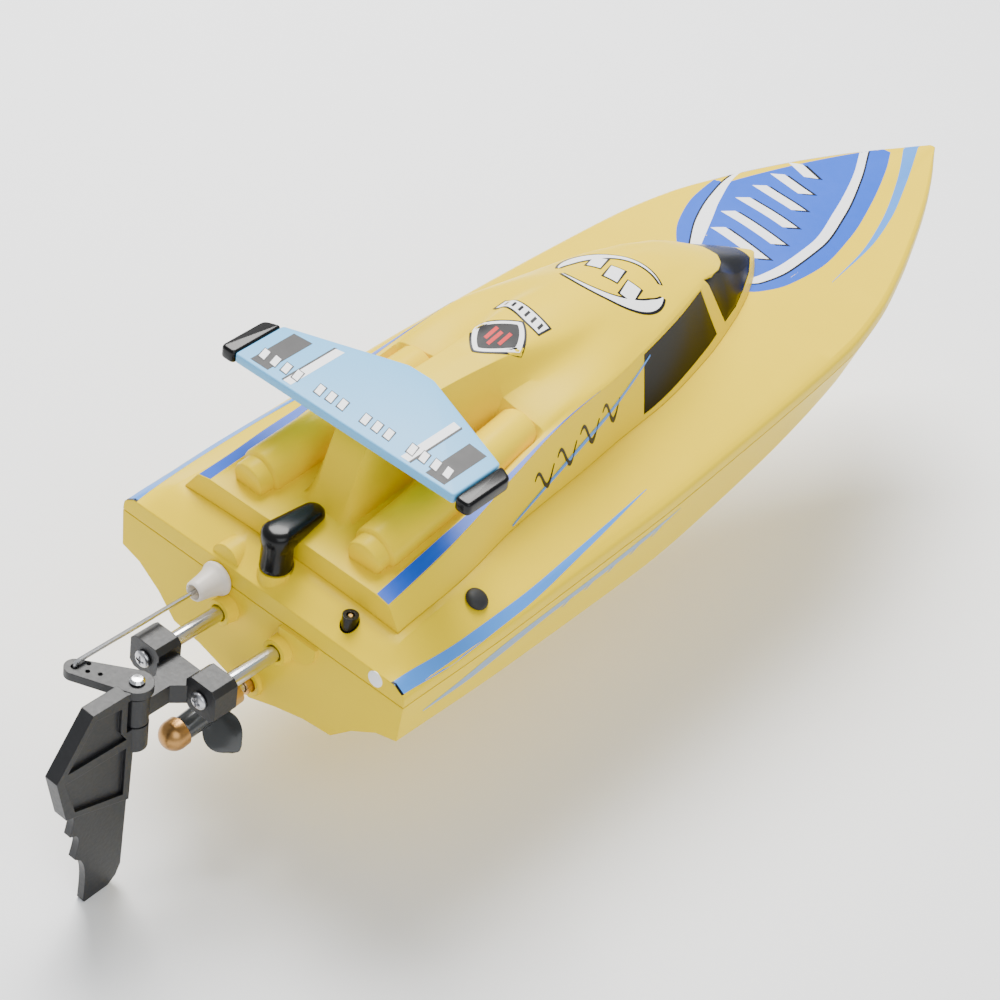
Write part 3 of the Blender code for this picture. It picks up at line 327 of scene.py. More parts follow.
def inset(section, amount):
    """Move an open (x, z) polyline sideways by amount, to its left when walking along it."""
    out = []
    for i, p in enumerate(section):
        dirs = []
        if i > 0:
            q = section[i - 1]
            dirs.append((p[0] - q[0], p[1] - q[1]))
        if i < len(section) - 1:
            q = section[i + 1]
            dirs.append((q[0] - p[0], q[1] - p[1]))
        norm = []
        for dx, dz in dirs:
            length = hypot(dx, dz) or 1.0
            norm.append((-dz / length, dx / length))
        nx = sum(v[0] for v in norm) / len(norm)
        nz = sum(v[1] for v in norm) / len(norm)
        size = max(nx * nx + nz * nz, 0.35)
        out.append((p[0] + nx / size * amount, p[1] + nz / size * amount))
    return out


def shell_loft(bm, outer_y, outer, inner_y, inner):
    """Thick open-sided shell from open (x, z) sections; outer stations past the last
    inner one are solid, closed along the rim by one flat face."""
    rows_out = [[bm.verts.new((x, y, z)) for x, z in sec] for y, sec in zip(outer_y, outer)]
    rows_in = [[bm.verts.new((x, y, z)) for x, z in sec] for y, sec in zip(inner_y, inner)]
    n, inner_n = len(outer[0]), len(inner[0])
    for a, b in zip(rows_out, rows_out[1:]):
        for i in range(n - 1):
            bm.faces.new([a[i], a[i + 1], b[i + 1], b[i]])
    for a, b in zip(rows_in, rows_in[1:]):
        for i in range(inner_n - 1):
            bm.faces.new([b[i], b[i + 1], a[i + 1], a[i]])
    pairs = len(rows_in)
    for side in (0, -1):
        for k in range(pairs - 1):
            bm.faces.new([rows_out[k][side], rows_out[k + 1][side], rows_in[k + 1][side],
                          rows_in[k][side]])
    for row in (rows_out[0], rows_out[-1], rows_in[0], rows_in[-1]):
        bm.faces.new(row)
    bm.faces.new([rows_out[0][0], rows_in[0][0], rows_in[0][-1], rows_out[0][-1]])
    tail = [row[0] for row in rows_out[pairs - 1:]]
    tail += [row[-1] for row in rows_out[pairs - 1:][::-1]]
    bm.faces.new(tail + [rows_in[-1][-1], rows_in[-1][0]])


def blend_point(tracks, d):
    return (tracks[0](d), tracks[1](d))


def mirrored(half):
    """Port-to-starboard section from a half section that ends on the centre line."""
    return half + [(-x, z) for x, z in half[-2::-1]]


# ---- hull lines: distance d is measured forward from the transom
half_breadth = track([(0, 47), (40, 48), (90, 48), (130, 46.8), (160, 45.4), (190, 43.3),
                      (210, 39.6), (230, 33.3), (250, 25.6), (270, 17), (285, 9.6),
                      (295, 4), (300, 1.0)])
sheer = track([(0, 3.3), (35, 5.2), (100, 9.3), (150, 12.6), (190, 15.2), (220, 17.8),
               (260, 19.8), (300, 20.3)])
keel = track([(0, -30.5), (170, -30.5), (200, -29), (230, -24.5), (260, -13.5), (285, 1.5),
              (300, 15.5)])
chine_z = track([(0, -11), (90, -10), (150, -5), (200, 1.5), (250, 8.5), (280, 13.3), (300, 16.3)])
chine_in = track([(0, 0.5), (90, 0.8), (150, 1.6), (200, 3.4), (250, 4.4), (285, 2.6), (300, 0.4)])
plain_v = track([(90, 0), (230, 1)])

side_x = track([(0, 38), (9, 37.5), (33, 35.5), (60, 31.5), (85, 30), (105, 28.7), (117, 28.3),
                (147, 24), (170, 18), (187, 15), (210, 14), (250, 9), (285, 4), (300, 0.45)])
side_z = track([(0, 4.9), (9, 9.5), (33, 11), (60, 13), (85, 14.5), (105, 16), (117, 17),
                (147, 18), (170, 18.6), (187, 19.3), (220, 20.5), (260, 21.1), (290, 20.6),
                (300, 20.35)])
crown_z = track([(0, 5.3), (9, 10.8), (33, 12), (60, 14), (105, 17), (150, 19), (200, 20.4),
                 (230, 21.4), (260, 21.6), (290, 20.9), (300, 20.4)])
stripe_in = track([(0, 3.5), (50, 3.2), (100, 2.2), (285, 1.6), (300, 0.3)])
stripe_up = track([(0, 1.7), (50, 1.7), (100, 1.0), (285, 0.4), (300, 0.03)])


def hull_section(d):
    """Hull bottom, port parting line to starboard parting line."""
    w = half_breadth(d) - chine_in(d)
    k, c = keel(d), chine_z(d)
    v = plain_v(d)
    shape = [(1.0, 1.0), (0.867, 0.908), (0.71, 0.66), (0.58, 0.354), (0.46, 0.318),
             (0.387, 0.297), (0.183, 0.159), (0.0, 0.0)]
    half = [(half_breadth(d), sheer(d) - 3.3 - GAP / 2)]
    half += [(w * fx, k + (c - k) * (fz * (1 - v) + fx ** 1.25 * v)) for fx, fz in shape]
    return mirrored(half)


# ---- canopy lines
BASE_X = track([(9.3, 36.5), (33, 34.5), (60, 30.5), (85, 29), (105, 27.6), (117, 27.3),
                (147, 22.8), (170, 16.5), (187, 9.8), (195, 4.9), (199, 1.2)])
RAIL = (track([(9.3, 31.6), (19.4, 31), (30, 30.4), (40, 29.4), (49.7, 28.4), (60, 27.5),
               (70.4, 26.3), (81.4, 25.4), (93, 24.9), (115, 21.5), (137, 17), (150, 13.8),
               (156, 12.6), (165, 14.2), (176, 11.9), (187, 7.6), (195, 3.4), (199, 0.9)]),
        track([(9.3, 15.7), (19.4, 17.5), (30, 19.9), (40, 22.2), (49.7, 25.1), (60, 28.4),
               (70.4, 31.2), (81.4, 33.3), (93, 34.8), (115, 35.3), (137, 36), (150, 35.6),
               (156, 34.0), (165, 25.5), (176, 23.4), (187, 22.6), (195, 21.9), (199, 21.2)]))
RAIL_IN = (track([(9.3, 27.4), (40, 26.2), (70, 24.5), (93, 23.9), (115, 20.2), (137, 15.8),
                  (150, 12.6), (156, 11.0), (165, 10.2), (176, 9.3), (187, 6.3), (195, 2.8),
                  (199, 0.7)]),
           track([(9.3, 16.6), (40, 22.6), (70, 31.2), (93, 35.6), (115, 36.2), (137, 36.9),
                  (150, 36.4), (156, 35.6), (165, 33.0), (176, 27.4), (187, 24.3), (195, 22.4),
                  (199, 21.3)]))
FLOOR = (track([(9.3, 26.6), (40, 25.4), (66, 22.0), (71, 22.5), (93, 21.2), (115, 17.6),
                (137, 13.4), (150, 10.7), (156, 9.2), (165, 8.2), (176, 7.2), (187, 4.8),
                (195, 2.1), (199, 0.5)]),
         track([(9.3, 16.6), (20, 18.1), (40, 21), (64, 25.9), (69.5, 27), (72, 32.4), (93, 36.4),
                (115, 37.8), (137, 37.8), (150, 37.0), (156, 36.2), (165, 33.8), (176, 28.9),
                (187, 25.3), (195, 22.65), (199, 21.35)]))
SPINE = (track([(9.3, 8.4), (20, 8.1), (27, 8.2), (66, 9.7), (94.5, 13.1), (115, 12.0), (137, 9),
                (150, 7.2), (156, 6.2), (176, 4.8), (187, 3.2), (195, 1.4), (199, 0.32)]),
         track([(9.3, 16.8), (20, 18.2), (40, 21.3), (64, 26.3), (69.5, 28), (72, 34.3),
                (94.5, 38.3), (115, 40.2), (137, 39.1), (150, 37.7), (156, 36.6), (165, 34.2),
                (176, 30.0), (187, 25.9), (195, 22.85), (199, 21.38)]))
SHOULDER = (track([(9.3, 5.0), (20, 5.0), (51, 5.0), (80, 6.6), (98, 8.2), (115, 6.4), (137, 5),
                   (150, 3.9), (156, 3.3), (176, 2.6), (187, 1.7), (195, 0.75), (199, 0.16)]),
            track([(9.3, 16.9), (20, 18.3), (27, 36.8), (29.5, 41.2), (51, 42.3), (80, 42.6),
                   (98, 42.0), (115, 42.0), (124, 41.4), (137, 40.1), (150, 38.3), (156, 36.9),
                   (165, 34.4), (176, 30.4), (187, 26.1), (195, 22.92), (199, 21.4)]))
TOP_Z = track([(9.3, 17.0), (20, 18.4), (27, 37.0), (29.5, 41.4), (51, 42.4), (80, 43),
               (100, 43.2), (124, 42), (150, 38.5), (156, 37.0), (165, 34.5), (176, 30.5),
               (187, 26.15), (195, 22.95), (199, 21.41)])


# ---- fine lines: the same shapes as the model, with more points
def spread(a, b, count):
    """Points from a up to, not including, b."""
    return [(a[0] + (b[0] - a[0]) * i / count, a[1] + (b[1] - a[1]) * i / count)
            for i in range(count)]


def stations(stops, step):
    """Distances through all the stops, no further apart than step."""
    out = [stops[0]]
    for a, b in zip(stops, stops[1:]):
        count = max(int((b - a) / step + 0.999), 1)
        out += [a + (b - a) * (i + 1) / count for i in range(count)]
    return out


def fine_deck(d):
    """Deck section with a rounded gunwale and a crowned middle."""
    b, s = half_breadth(d), sheer(d)
    scale = min(1.0, b / 4)
    half = [(b, s - 3.3 + GAP / 2), (b - 0.08 * scale, s - 2.2), (b - 0.2 * scale, s - 1.2),
            (b - 0.42 * scale, s - 0.45), (b - 0.8 * scale, s + 0.02)]
    inner = (b - min(stripe_in(d), 0.5 * b), s + stripe_up(d))
    half += spread(half[-1], inner, 3)[1:]
    side, crown = (side_x(d), side_z(d)), crown_z(d)
    half += spread(inner, side, 6)
    steps = 14
    for i in range(steps + 1):
        x = side[0] * (1 - i / steps)
        ratio = x / side[0] if side[0] else 0.0
        half.append((x, crown - (crown - side[1]) * ratio ** 2))
    return mirrored(half)


def deck_z(d, x):
    half = fine_deck(d)
    half = half[1:len(half) // 2 + 1]
    x = abs(x)
    for (x1, z1), (x0, z0) in zip(half, half[1:]):
        if x0 - 1e-9 <= x <= x1:
            return z0 + (z1 - z0) * (x - x0) / max(x1 - x0, 1e-9)
    return half[0][1]


def base_z(d):
    return deck_z(d, BASE_X(d)) - 1.2


def rounded(points, soft, count):
    """Half section through the points: straight where soft is 0, curved where it is 1."""
    full = points + [(-points[-2][0], points[-2][1])]
    out = []
    for i in range(len(points) - 1):
        p0 = full[max(i - 1, 0)]
        p1, p2, p3 = full[i], full[i + 1], full[i + 2]
        for k in range(count):
            t = k / count
            spot = []
            for axis in (0, 1):
                a = (p2[axis] - p0[axis]) / 2
                b = (p3[axis] - p1[axis]) / 2
                curve = ((2 * t ** 3 - 3 * t * t + 1) * p1[axis] + (t ** 3 - 2 * t * t + t) * a
                         + (3 * t * t - 2 * t ** 3) * p2[axis] + (t ** 3 - t * t) * b)
                line = p1[axis] + (p2[axis] - p1[axis]) * t
                spot.append(line + (curve - line) * soft)
            out.append(tuple(spot))
    out.append(points[-1])
    return out


roof_soft = track([(70, 0.0), (73, 0.35), (98, 1.0), (199, 1.0)])


def fine_canopy(d):
    """Canopy section: flank, rail, then the recess and spine or the rounded roof."""
    half = spread((BASE_X(d), base_z(d)), blend_point(RAIL, d), 4)
    half += spread(blend_point(RAIL, d), blend_point(RAIL_IN, d), 2)
    roof = [blend_point(RAIL_IN, d), blend_point(FLOOR, d), blend_point(SPINE, d),
            blend_point(SHOULDER, d), (0.0, TOP_Z(d))]
    half += rounded(roof, roof_soft(d), 5)
    return mirrored(half)


def roof_z(d, x):
    """Height of the canopy's upper surface at half-breadth x."""
    half = fine_canopy(d)
    half = half[4:len(half) // 2 + 1]
    x = abs(x)
    for (x1, z1), (x0, z0) in zip(half, half[1:]):
        if min(x0, x1) <= x <= max(x0, x1) and abs(x1 - x0) > 1e-6:
            return z0 + (z1 - z0) * (x - x0) / (x1 - x0)
    return half[0][1]


# ---- hull and deck
def inner_distance(d):
    return track([(0, 2.0), (20, 20.0), (240, 240.0), (272, 264.0)])(d)


def make_shell(name, stops, step, section, amount, replaced):
    """Yellow moulding of one wall thickness; its solid bow starts past the last inner station."""
    spots = stations(stops, step)

    def build(bm):
        inner_d = [inner_distance(d) for d in spots if d <= 272]
        inner = []
        for d in inner_d:
            outer = section(d)
            sec = inset(outer, amount)
            edge = outer[0][0] - abs(amount)
            sec[0] = (edge, outer[0][1])
            sec[-1] = (-edge, outer[0][1])
            inner.append(sec)
        shell_loft(bm, [-d for d in spots], [section(d) for d in spots],
                   [-d for d in inner_d], inner)

    obj = place_mesh(name, build, YELLOW, "hull", smooth=24)
    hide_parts(replaced)
    return obj


def shaft_point(y):
    return (0.0, y, SHAFT_Z + SHAFT_SLOPE * (SHAFT_Y - y))


def rod_hole():
    return drill((TILLER[0], -6, ROD_Z), (TILLER[0], 6, ROD_Z), 2.4, 32)


def make_hull():
    hull = make_shell("hull_moulding", [0, 272, 299.8], 4.0, hull_section, -SHELL_WALL,
                      "hull_bottom")

    def bosses(bm):
        for side in (-1, 1):
            cone_in(bm, (side * TUBE_X, -1.0, TUBE_Z), (side * TUBE_X, 3.4, TUBE_Z), 3.9, 3.5, 40)

    def bores(bm):
        for side in (-1, 1):
            cone_in(bm, (side * TUBE_X, -8, TUBE_Z), (side * TUBE_X, 8, TUBE_Z), 2.3, 2.3, 32)

    pad = [(-8.0, -0.6)] + arc(-14.0, -1.8, 6.0, 355, 185, 28) + [(-20.0, -0.6)]

    carve(hull, [("UNION", bosses),
                 plate_tool("UNION", pad, -1.0, 0.9, "xz"),
                 boss(shaft_point(-6), shaft_point(1.2), 4.7, 4.1),
                 ("DIFFERENCE", bores),
                 drill(shaft_point(-30), shaft_point(8), 2.8, 32),
                 rod_hole()], 24)


def drain_axis():
    x, d = DRAIN
    slope = (deck_z(d, x - 1.5) - deck_z(d, x + 1.5)) / 3.0
    return Vector((-x, -d, deck_z(d, x))), Vector((-slope, 0, 1)).normalized()


def hatch_outline():
    port = [(BASE_X(d) - 5.0, -d) for d in (16, 33, 60, 85, 105, 117, 132, 147, 160, 172)]
    return port + [(-x, y) for x, y in port[::-1]]


def make_deck():
    deck = make_shell("deck_moulding", [0, 3, 9, 272, 299.8], 3.5, fine_deck, SHELL_WALL, "deck")
    base, up = drain_axis()
    carve(deck, [boss((12.6, -0.9, 5.4), (12.6, -9.5, 5.4), 4.2, 4.4, 48),
                 plate_tool("DIFFERENCE", hatch_outline(), -2, 40),
                 boss((0, LATCH_Y, 3.1), (0, LATCH_Y, 9.3), 4.23, 4.21),
                 drill((0, LATCH_Y, 9.3), (0, LATCH_Y, 15), 4.35, 40),
                 drill((0, LATCH_Y, 0), (0, LATCH_Y, 12), LATCH_SCREW_R),
                 drill((*ANTENNA, 0), (*ANTENNA, 14), 2.3),
                 drill(base - up * 5, base + up * 3, 2.1),
                 rod_hole()], 24)


# ---- canopy
def grown(outline, amount):
    """Closed outline pushed outwards by amount, corners mitred."""
    n = len(outline)
    area = sum(outline[i - 1][0] * outline[i][1] - outline[i][0] * outline[i - 1][1]
               for i in range(n))
    sign = 1.0 if area > 0 else -1.0
    out = []
    for i, p in enumerate(outline):
        before, after = outline[i - 1], outline[(i + 1) % n]
        a = Vector((p[0] - before[0], p[1] - before[1])).normalized()
        b = Vector((after[0] - p[0], after[1] - p[1])).normalized()
        normal = Vector((a.y + b.y, -a.x - b.x)) * sign
        out.append((p[0] + normal.x * amount / (1 + a.dot(b)),
                    p[1] + normal.y * amount / (1 + a.dot(b))))
    return out


def windshield_outline(grow):
    upper = [(11.6, -155.2), (11.0, -160.0), (9.3, -166.0), (6.2, -171.8), (2.6, -175.3)]
    lower = [(16.7, -162.4), (14.4, -170.5), (11.4, -178.0), (7.5, -186.2), (3.4, -192.4)]
    loop = lower + [(-x, y) for x, y in lower[::-1]] + [(-x, y) for x, y in upper] + upper[::-1]
    return grown(loop, grow)


def side_window_tool(operation, side, grow):
    outline = [(-150.3, 35.0), (-155.8, 21.2), (-136, 20.0), (-113.6, 18.6), (-115.2, 34.2)]
    return plate_tool(operation, grown(outline, grow), side * 8.0, side * 40.0, "yz")


CANOPY_STOPS = [CABIN_REAR, 20, 23.5, 27, 29.5, 51, 66, 69.3, 71.8, 75, 93, 150, 156, 187, CABIN_TIP]


def canopy_inner(d):
    """Canopy inside, one wall inside the outer section and a little further aft."""
    t = max(d - WALL if d < 70 else d, CABIN_REAR)
    rail, floor = blend_point(RAIL, t), blend_point(FLOOR, t)
    spine, shoulder = blend_point(SPINE, t), blend_point(SHOULDER, t)
    x1 = min(rail[0], BASE_X(d)) - 2.0
    half = [(BASE_X(d) - WALL, base_z(d)),
            (x1, min(rail[1], floor[1] + 1.0) - 1.7),
            (min(floor[0] - 0.3, x1 - 0.4), floor[1] - 1.7),
            (max(spine[0] - 1.1, 0.6 * spine[0]), spine[1] - 1.75),
            (max(shoulder[0] - 1.5, 0.3 * shoulder[0]), shoulder[1] - 1.75),
            (0.0, TOP_Z(t) - 1.75)]
    return mirrored(half)


def canopy_skin(bm):
    """Thick skin of the canopy, open below."""
    spots = stations(CANOPY_STOPS, 2.4)
    start = CABIN_REAR + WALL
    shrink = (CABIN_HOLLOW_TIP - start) / (CABIN_TIP - CABIN_REAR)
    inner = [start + (d - CABIN_REAR) * shrink for d in spots]
    shell_loft(bm, [-d for d in spots], [fine_canopy(d) for d in spots],
               [-d for d in inner], [canopy_inner(d) for d in inner])


def deck_clearance(bm):
    rings = []
    for d in stations([3, 9, 210], 3.5):
        sec = [(x, -d, z + GAP * 0.6) for x, z in fine_deck(d)]
        rings.append(sec + [(sec[-1][0], -d, -6.0), (sec[0][0], -d, -6.0)])
    ring_loft(bm, rings)


def turn_solid(bm, profile, start, direction, segments=40):
    """Solid of revolution; profile is (radius, height) pairs up the axis."""
    axis = Vector(direction).normalized()
    turn = Vector((0, 0, 1)).rotation_difference(axis).to_matrix()
    rings = []
    for r, h in profile:
        rings.append([Vector(start) + turn @ Vector((max(r, 0.02) * cos(2 * pi * k / segments),
                                                     max(r, 0.02) * sin(2 * pi * k / segments), h))
                      for k in range(segments)])
    ring_loft(bm, rings)


def pod(bm, side):
    """Exhaust pod: a small drum at the rear, then a larger one with a soft shoulder."""
    profile = [(4.1, 0.0), (4.7, 0.25), (4.95, 0.9), (5.05, 4.0), (5.5, 4.15), (6.0, 4.6),
               (6.2, 5.3), (6.2, 58.5), (5.9, 59.2)]
    turn_solid(bm, profile, (side * 19, -13.4, 19.2), (side * -2.0, -54.1, 8.3), 48)


def make_canopy():
    canopy = place_mesh("canopy_moulding", canopy_skin, YELLOW, "canopy", smooth=26)
    tools = [("UNION", lambda bm: pod(bm, 1)), ("UNION", lambda bm: pod(bm, -1))]
    tools += [side_window_tool("DIFFERENCE", side, WINDOW_GAP) for side in (1, -1)]
    tools += [drill((0, y, 33), (0, y, 60), 1.3, 20) for y in WING_SCREW_Y]
    tools.append(plate_tool("DIFFERENCE", windshield_outline(WINDOW_GAP), 18.0, 50.0))
    tools.append(("DIFFERENCE", deck_clearance))
    carve(canopy, tools, 26)
    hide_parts("canopy")
    for side, label in SIDES:
        glass = place_mesh("side_glass_" + label, canopy_skin, GLASS, "canopy", smooth=30)
        carve(glass, [side_window_tool("INTERSECT", side, 0.0)])
        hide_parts("window_" + label)
    front = place_mesh("front_glass", canopy_skin, GLASS, "canopy", smooth=30)
    carve(front, [plate_tool("INTERSECT", windshield_outline(0.0), 18.0, 50.0),
                  ("DIFFERENCE", deck_clearance)])
    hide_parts("windshield")


# ---- wing
def wing_top(y):
    return 43.9 + 0.055 * (-22.8 - y)


def slab(bm, outline, thickness, round_by, steps=4):
    """Plate in the wing's plane with rounded upper and lower edges."""
    rings = []
    for k in range(2 * steps + 2):
        up = k > steps
        a = radians(90 * ((k - steps - 1) if up else k) / steps)
        back = round_by * (1 - (cos(a) if up else sin(a)))
        high = round_by * (sin(a) - 1) if up else -thickness + round_by * (1 - cos(a))
        rings.append([(x, y, wing_top(y) + high) for x, y in grown(outline, -back)])
    ring_loft(bm, rings)


def soft_outline(points, radius, steps=5):
    """Outline with each corner replaced by a short curve."""
    out = []
    n = len(points)
    for i, p in enumerate(points):
        corner = Vector(p)
        before = (Vector(points[i - 1]) - corner)
        after = (Vector(points[(i + 1) % n]) - corner)
        reach = min(radius, 0.45 * before.length, 0.45 * after.length)
        a, b = corner + before.normalized() * reach, corner + after.normalized() * reach
        for k in range(steps + 1):
            t = k / steps
            spot = a * (1 - t) ** 2 + corner * 2 * t * (1 - t) + b * t * t
            out.append((spot.x, spot.y))
    return out


def make_wing():
    board = soft_outline([(-35.2, -22.8), (35.2, -22.8), (35.2, -39.2), (4.0, -51.0),
                          (-4.0, -51.0), (-35.2, -39.2)], 0.9)
    wing = place_mesh("wing_board", lambda bm: slab(bm, board, 2.6, 0.45), BLUE_WING, "canopy")
    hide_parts("wing")
    for side, label in SIDES:
        shape = [(35.5, -22.6), (40.0, -22.6), (40.0, -37.4), (35.5, -39.4)]
        shape = soft_outline([(side * x, y) for x, y in shape], 1.5)
        cap = place_mesh("wing_end_" + label, lambda bm, s=shape: slab(bm, s, 3.6, 0.8), BLACK,
                         "canopy", smooth=40)
        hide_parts("wing_cap_" + label)


# ---- rudder gear, propeller and fittings
def make_latch():
    outline = soft_outline(arc(0, LATCH_Y, 4.3, 15, 165, 16) + arc(0, -16.3, 3.0, 185, 355, 16),
                           0.6, 2)

    def lever(bm):
        """Rings from the underside up; the far end is thinner, to reach over the canopy's edge."""
        rings = []
        for z, shrink in ((15.4, 0.82), (16.1, 0.93), (17.5, 1.0), (19.4, 1.02), (20.6, 0.98),
                          (21.3, 0.86), (21.7, 0.66), (21.9, 0.35)):
            ring = []
            for x, y in outline:
                far = min(max((-5.0 - y) / 4.0, 0.0), 1.0)
                under = 17.75 + 0.145 * max(-9.0 - y, 0.0)
                thin = under + (19.4 - under) * (z - 15.4) / 4.0
                high = z + (thin - z) * far if z < 19.4 else z
                ring.append((x * shrink, -10.6 + (y + 10.6) * (0.42 + 0.58 * shrink), high))
            rings.append(ring)
        ring_loft(bm, rings)

    def base(bm):
        turn_solid(bm, [(0, 0), (3.9, 0), (4.05, 0.3), (4.0, 1.2), (3.85, 9.2), (0, 9.2)],
                   (0, LATCH_Y, 9.6), (0, 0, 1), 48)

    knob = place_mesh("latch_handle", base, BLACK, "latch", smooth=40)
    carve(knob, [("UNION", lever), drill((0, LATCH_Y, 5), (0, LATCH_Y, 17.6), LATCH_SCREW_R)], 40)
    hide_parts("latch_knob")


def slot_tool(bm, centre, direction, size, depth):
    """Thin bar sunk into a screw head; size gives its length and width."""
    axis = Vector(direction).normalized()
    turn = Vector((0, 0, 1)).rotation_difference(axis).to_matrix()
    part = bmesh.ops.create_cube(bm, size=1.0)["verts"]
    for v in part:
        v.co = Vector(centre) + turn @ Vector((v.co.x * size[0], v.co.y * size[1],
                                               v.co.z * 2 * depth))


def pan_screw(name, replaced, body, start, direction, head, shank, length, drive):
    """Pan head screw with a cross recess; the head's underside sits at start."""
    axis = Vector(direction).normalized()
    high = head * 0.55
    profile = [(0, -high)]
    profile += [(head * sin(radians(a)), -high * (0.25 + 0.75 * cos(radians(a))))
                for a in (15, 30, 45, 60, 75, 90)]
    profile += [(head, 0), (shank, 0), (shank, length), (0, length)]
    screw = place_mesh(name, lambda bm: turn_solid(bm, profile, start, direction, 32), SCREW, body,
                       smooth=35)
    crown = Vector(start) - axis * high
    carve(screw, [("DIFFERENCE", lambda bm, b=b: slot_tool(bm, crown, direction, b, 0.6))
                  for b in ((drive, drive * 0.28), (drive * 0.28, drive))], 35)
    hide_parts(replaced)


def make_antenna_contact():
    profile = [(0, 0), (0.8, 0), (0.8, 3.6), (0.5, 3.9), (0, 3.9)]
    place_mesh("antenna_contact", lambda bm: turn_solid(bm, profile, (*ANTENNA, 6.8), (0, 0, 1),
                                                        20), BRASS, "hull", smooth=40)


def make_screws():
    for side, label in SIDES:
        pan_screw("bracket_screw_" + label, "clamp_screw_" + label, "hull",
                  (side * TUBE_X, 27.8, TUBE_Z), (0, -1, 0), 2.3, 1.0, 7.0, 2.6)


def make_rudder():
    upper = [(43.2, -4.0), (43.2, -0.8), (53.8, -0.8), (64.1, -15.8), (60.9, -29.5),
             (41.3, -36.0), (40.8, -20.4), (42.0, -13.0), (43.2, -12.9)]
    edge = [(59.6, -27.4), (60.7, -28.9)]
    scallops = ((60.7, -28.9), (58.6, -37.6), (56.9, -46.4), (53.6, -63.4))
    for (y0, z0), (y1, z1) in zip(scallops, scallops[1:]):
        for k in range(1, 9):
            t = k / 8
            bite = 2.2 * (sin(pi * t ** 0.62)) if k < 8 else 0.0
            edge.append((y0 + (y1 - y0) * t - bite, z0 + (z1 - z0) * t + 0.15 * bite))
    lower = edge + [(53.2, -64.0), (45.7, -63.6), (43.4, -61.8), (41.9, -58.6), (41.1, -36.0)]

    rudder = place_mesh("rudder_blade", lambda bm: prism_in(bm, upper, -2.0, 2.0, "yz"), NYLON,
                        "rudder", smooth=20)
    ax, ay = TILLER
    start = degrees(atan2(ay - HINGE_Y, ax))
    tiller = arc(0, HINGE_Y, 4.0, start + 90, start + 270, 24)
    tiller += arc(ax, ay, 2.6, start - 90, start + 90, 18)
    pocket = [(45.0, -4.2), (52.8, -2.9), (60.9, -14.6), (43.0, -15.2), (45.0, -12.0)]
    low_pocket = [(43.0, -18.0), (61.4, -17.4), (58.2, -28.6), (43.2, -33.2)]
    tools = [plate_tool("UNION", lower, -1.1, 1.1, "yz"),
             boss((0, HINGE_Y, -20.4), (0, HINGE_Y, -12.9), 3.3, 3.3),
             ("UNION", lambda bm: box_in(bm, (-2.0, HINGE_Y, -20.3), (2.0, 44.0, -12.95))),
             plate_tool("UNION", tiller, -3.2, -0.85),
             ("UNION", lambda bm: box_in(bm, (-2.0, HINGE_Y, -3.15), (2.0, 44.5, -1.0))),
             drill((0, HINGE_Y, -22), (0, HINGE_Y, 5), 1.3, 28),
             drill((*TILLER, -5), (*TILLER, 5), 0.95, 20)]
    tools += [drill((*spot, -5), (*spot, 5), 0.55, 14)
              for spot in ((9.9, 44.9), (7.3, 43.4), (11.6, 43.0))]
    tools += [plate_tool("DIFFERENCE", shape, side * 1.05, side * 4.0, "yz")
              for side in (1, -1) for shape in (pocket, low_pocket)]
    carve(rudder, tools, 20)
    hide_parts("rudder")


def make_drive_parts():
    slope = atan2(SHAFT_SLOPE, 1.0)
    forward = Vector((0, -cos(slope), sin(slope)))
    nut = [(0, -0.6)] + [(3.95 * sin(radians(a)), 3.3 - 3.9 * cos(radians(a)))
                         for a in range(8, 91, 7)] + [(3.9, 5.2), (0, 5.2)]
    piece = place_mesh("bullet_nut", lambda bm: turn_solid(bm, nut, shaft_point(28.6), forward, 48),
                       DULL_BRASS, "driveline", smooth=40)
    carve(piece, [drill(shaft_point(27.3), shaft_point(20), 1.7, 28)], 40)
    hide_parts("prop_nut")
    make_propeller(slope)


def make_propeller(slope):
    """Two-blade propeller: twisted, cupped blades with rounded tips on a tapered hub."""
    centre = Vector(shaft_point(14.5))
    tilt = Matrix.Rotation(-slope, 3, "X")

    def blade(bm, sign):
        lay = tilt @ Matrix.Rotation(radians(62), 3, "Y")
        rings = []
        for k in range(15):
            s = k / 14
            r = 2.4 + 10.1 * s
            half = 3.3 + 2.0 * sin(pi * min(s * 1.15, 1.0)) ** 0.8
            if s > 0.55:
                half *= max(1.0 - ((s - 0.55) / 0.45) ** 2.4, 0.0) ** 0.5
            half = max(half, 0.35)
            pitch = radians(58 - 34 * s ** 0.7)
            ring = []
            for a in range(12):
                c = half * cos(2 * pi * a / 12)
                n = 0.42 * sin(2 * pi * a / 12) * (1 - 0.4 * s) + 0.03 * c * c
                ring.append(centre + lay @ Vector((
                    sign * (n * sin(pitch) - c * cos(pitch)),
                    c * sin(pitch) + n * cos(pitch), sign * r)))
            rings.append(ring)
        ring_loft(bm, rings)

    def hub(bm):
        turn_solid(bm, [(0, 0), (2.9, 0), (3.1, 0.4), (3.5, 13.3), (0, 13.7)],
                   centre + tilt @ Vector((0, 8.4, 0)), tilt @ Vector((0, -1, 0)), 40)

    prop = place_mesh("propeller_fine", hub, PROP, "driveline", smooth=35)
    carve(prop, [("UNION", lambda bm: blade(bm, 1)), ("UNION", lambda bm: blade(bm, -1)),
                 drill(shaft_point(24), shaft_point(4), 1.8, 28)], 35)
    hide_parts("propeller")


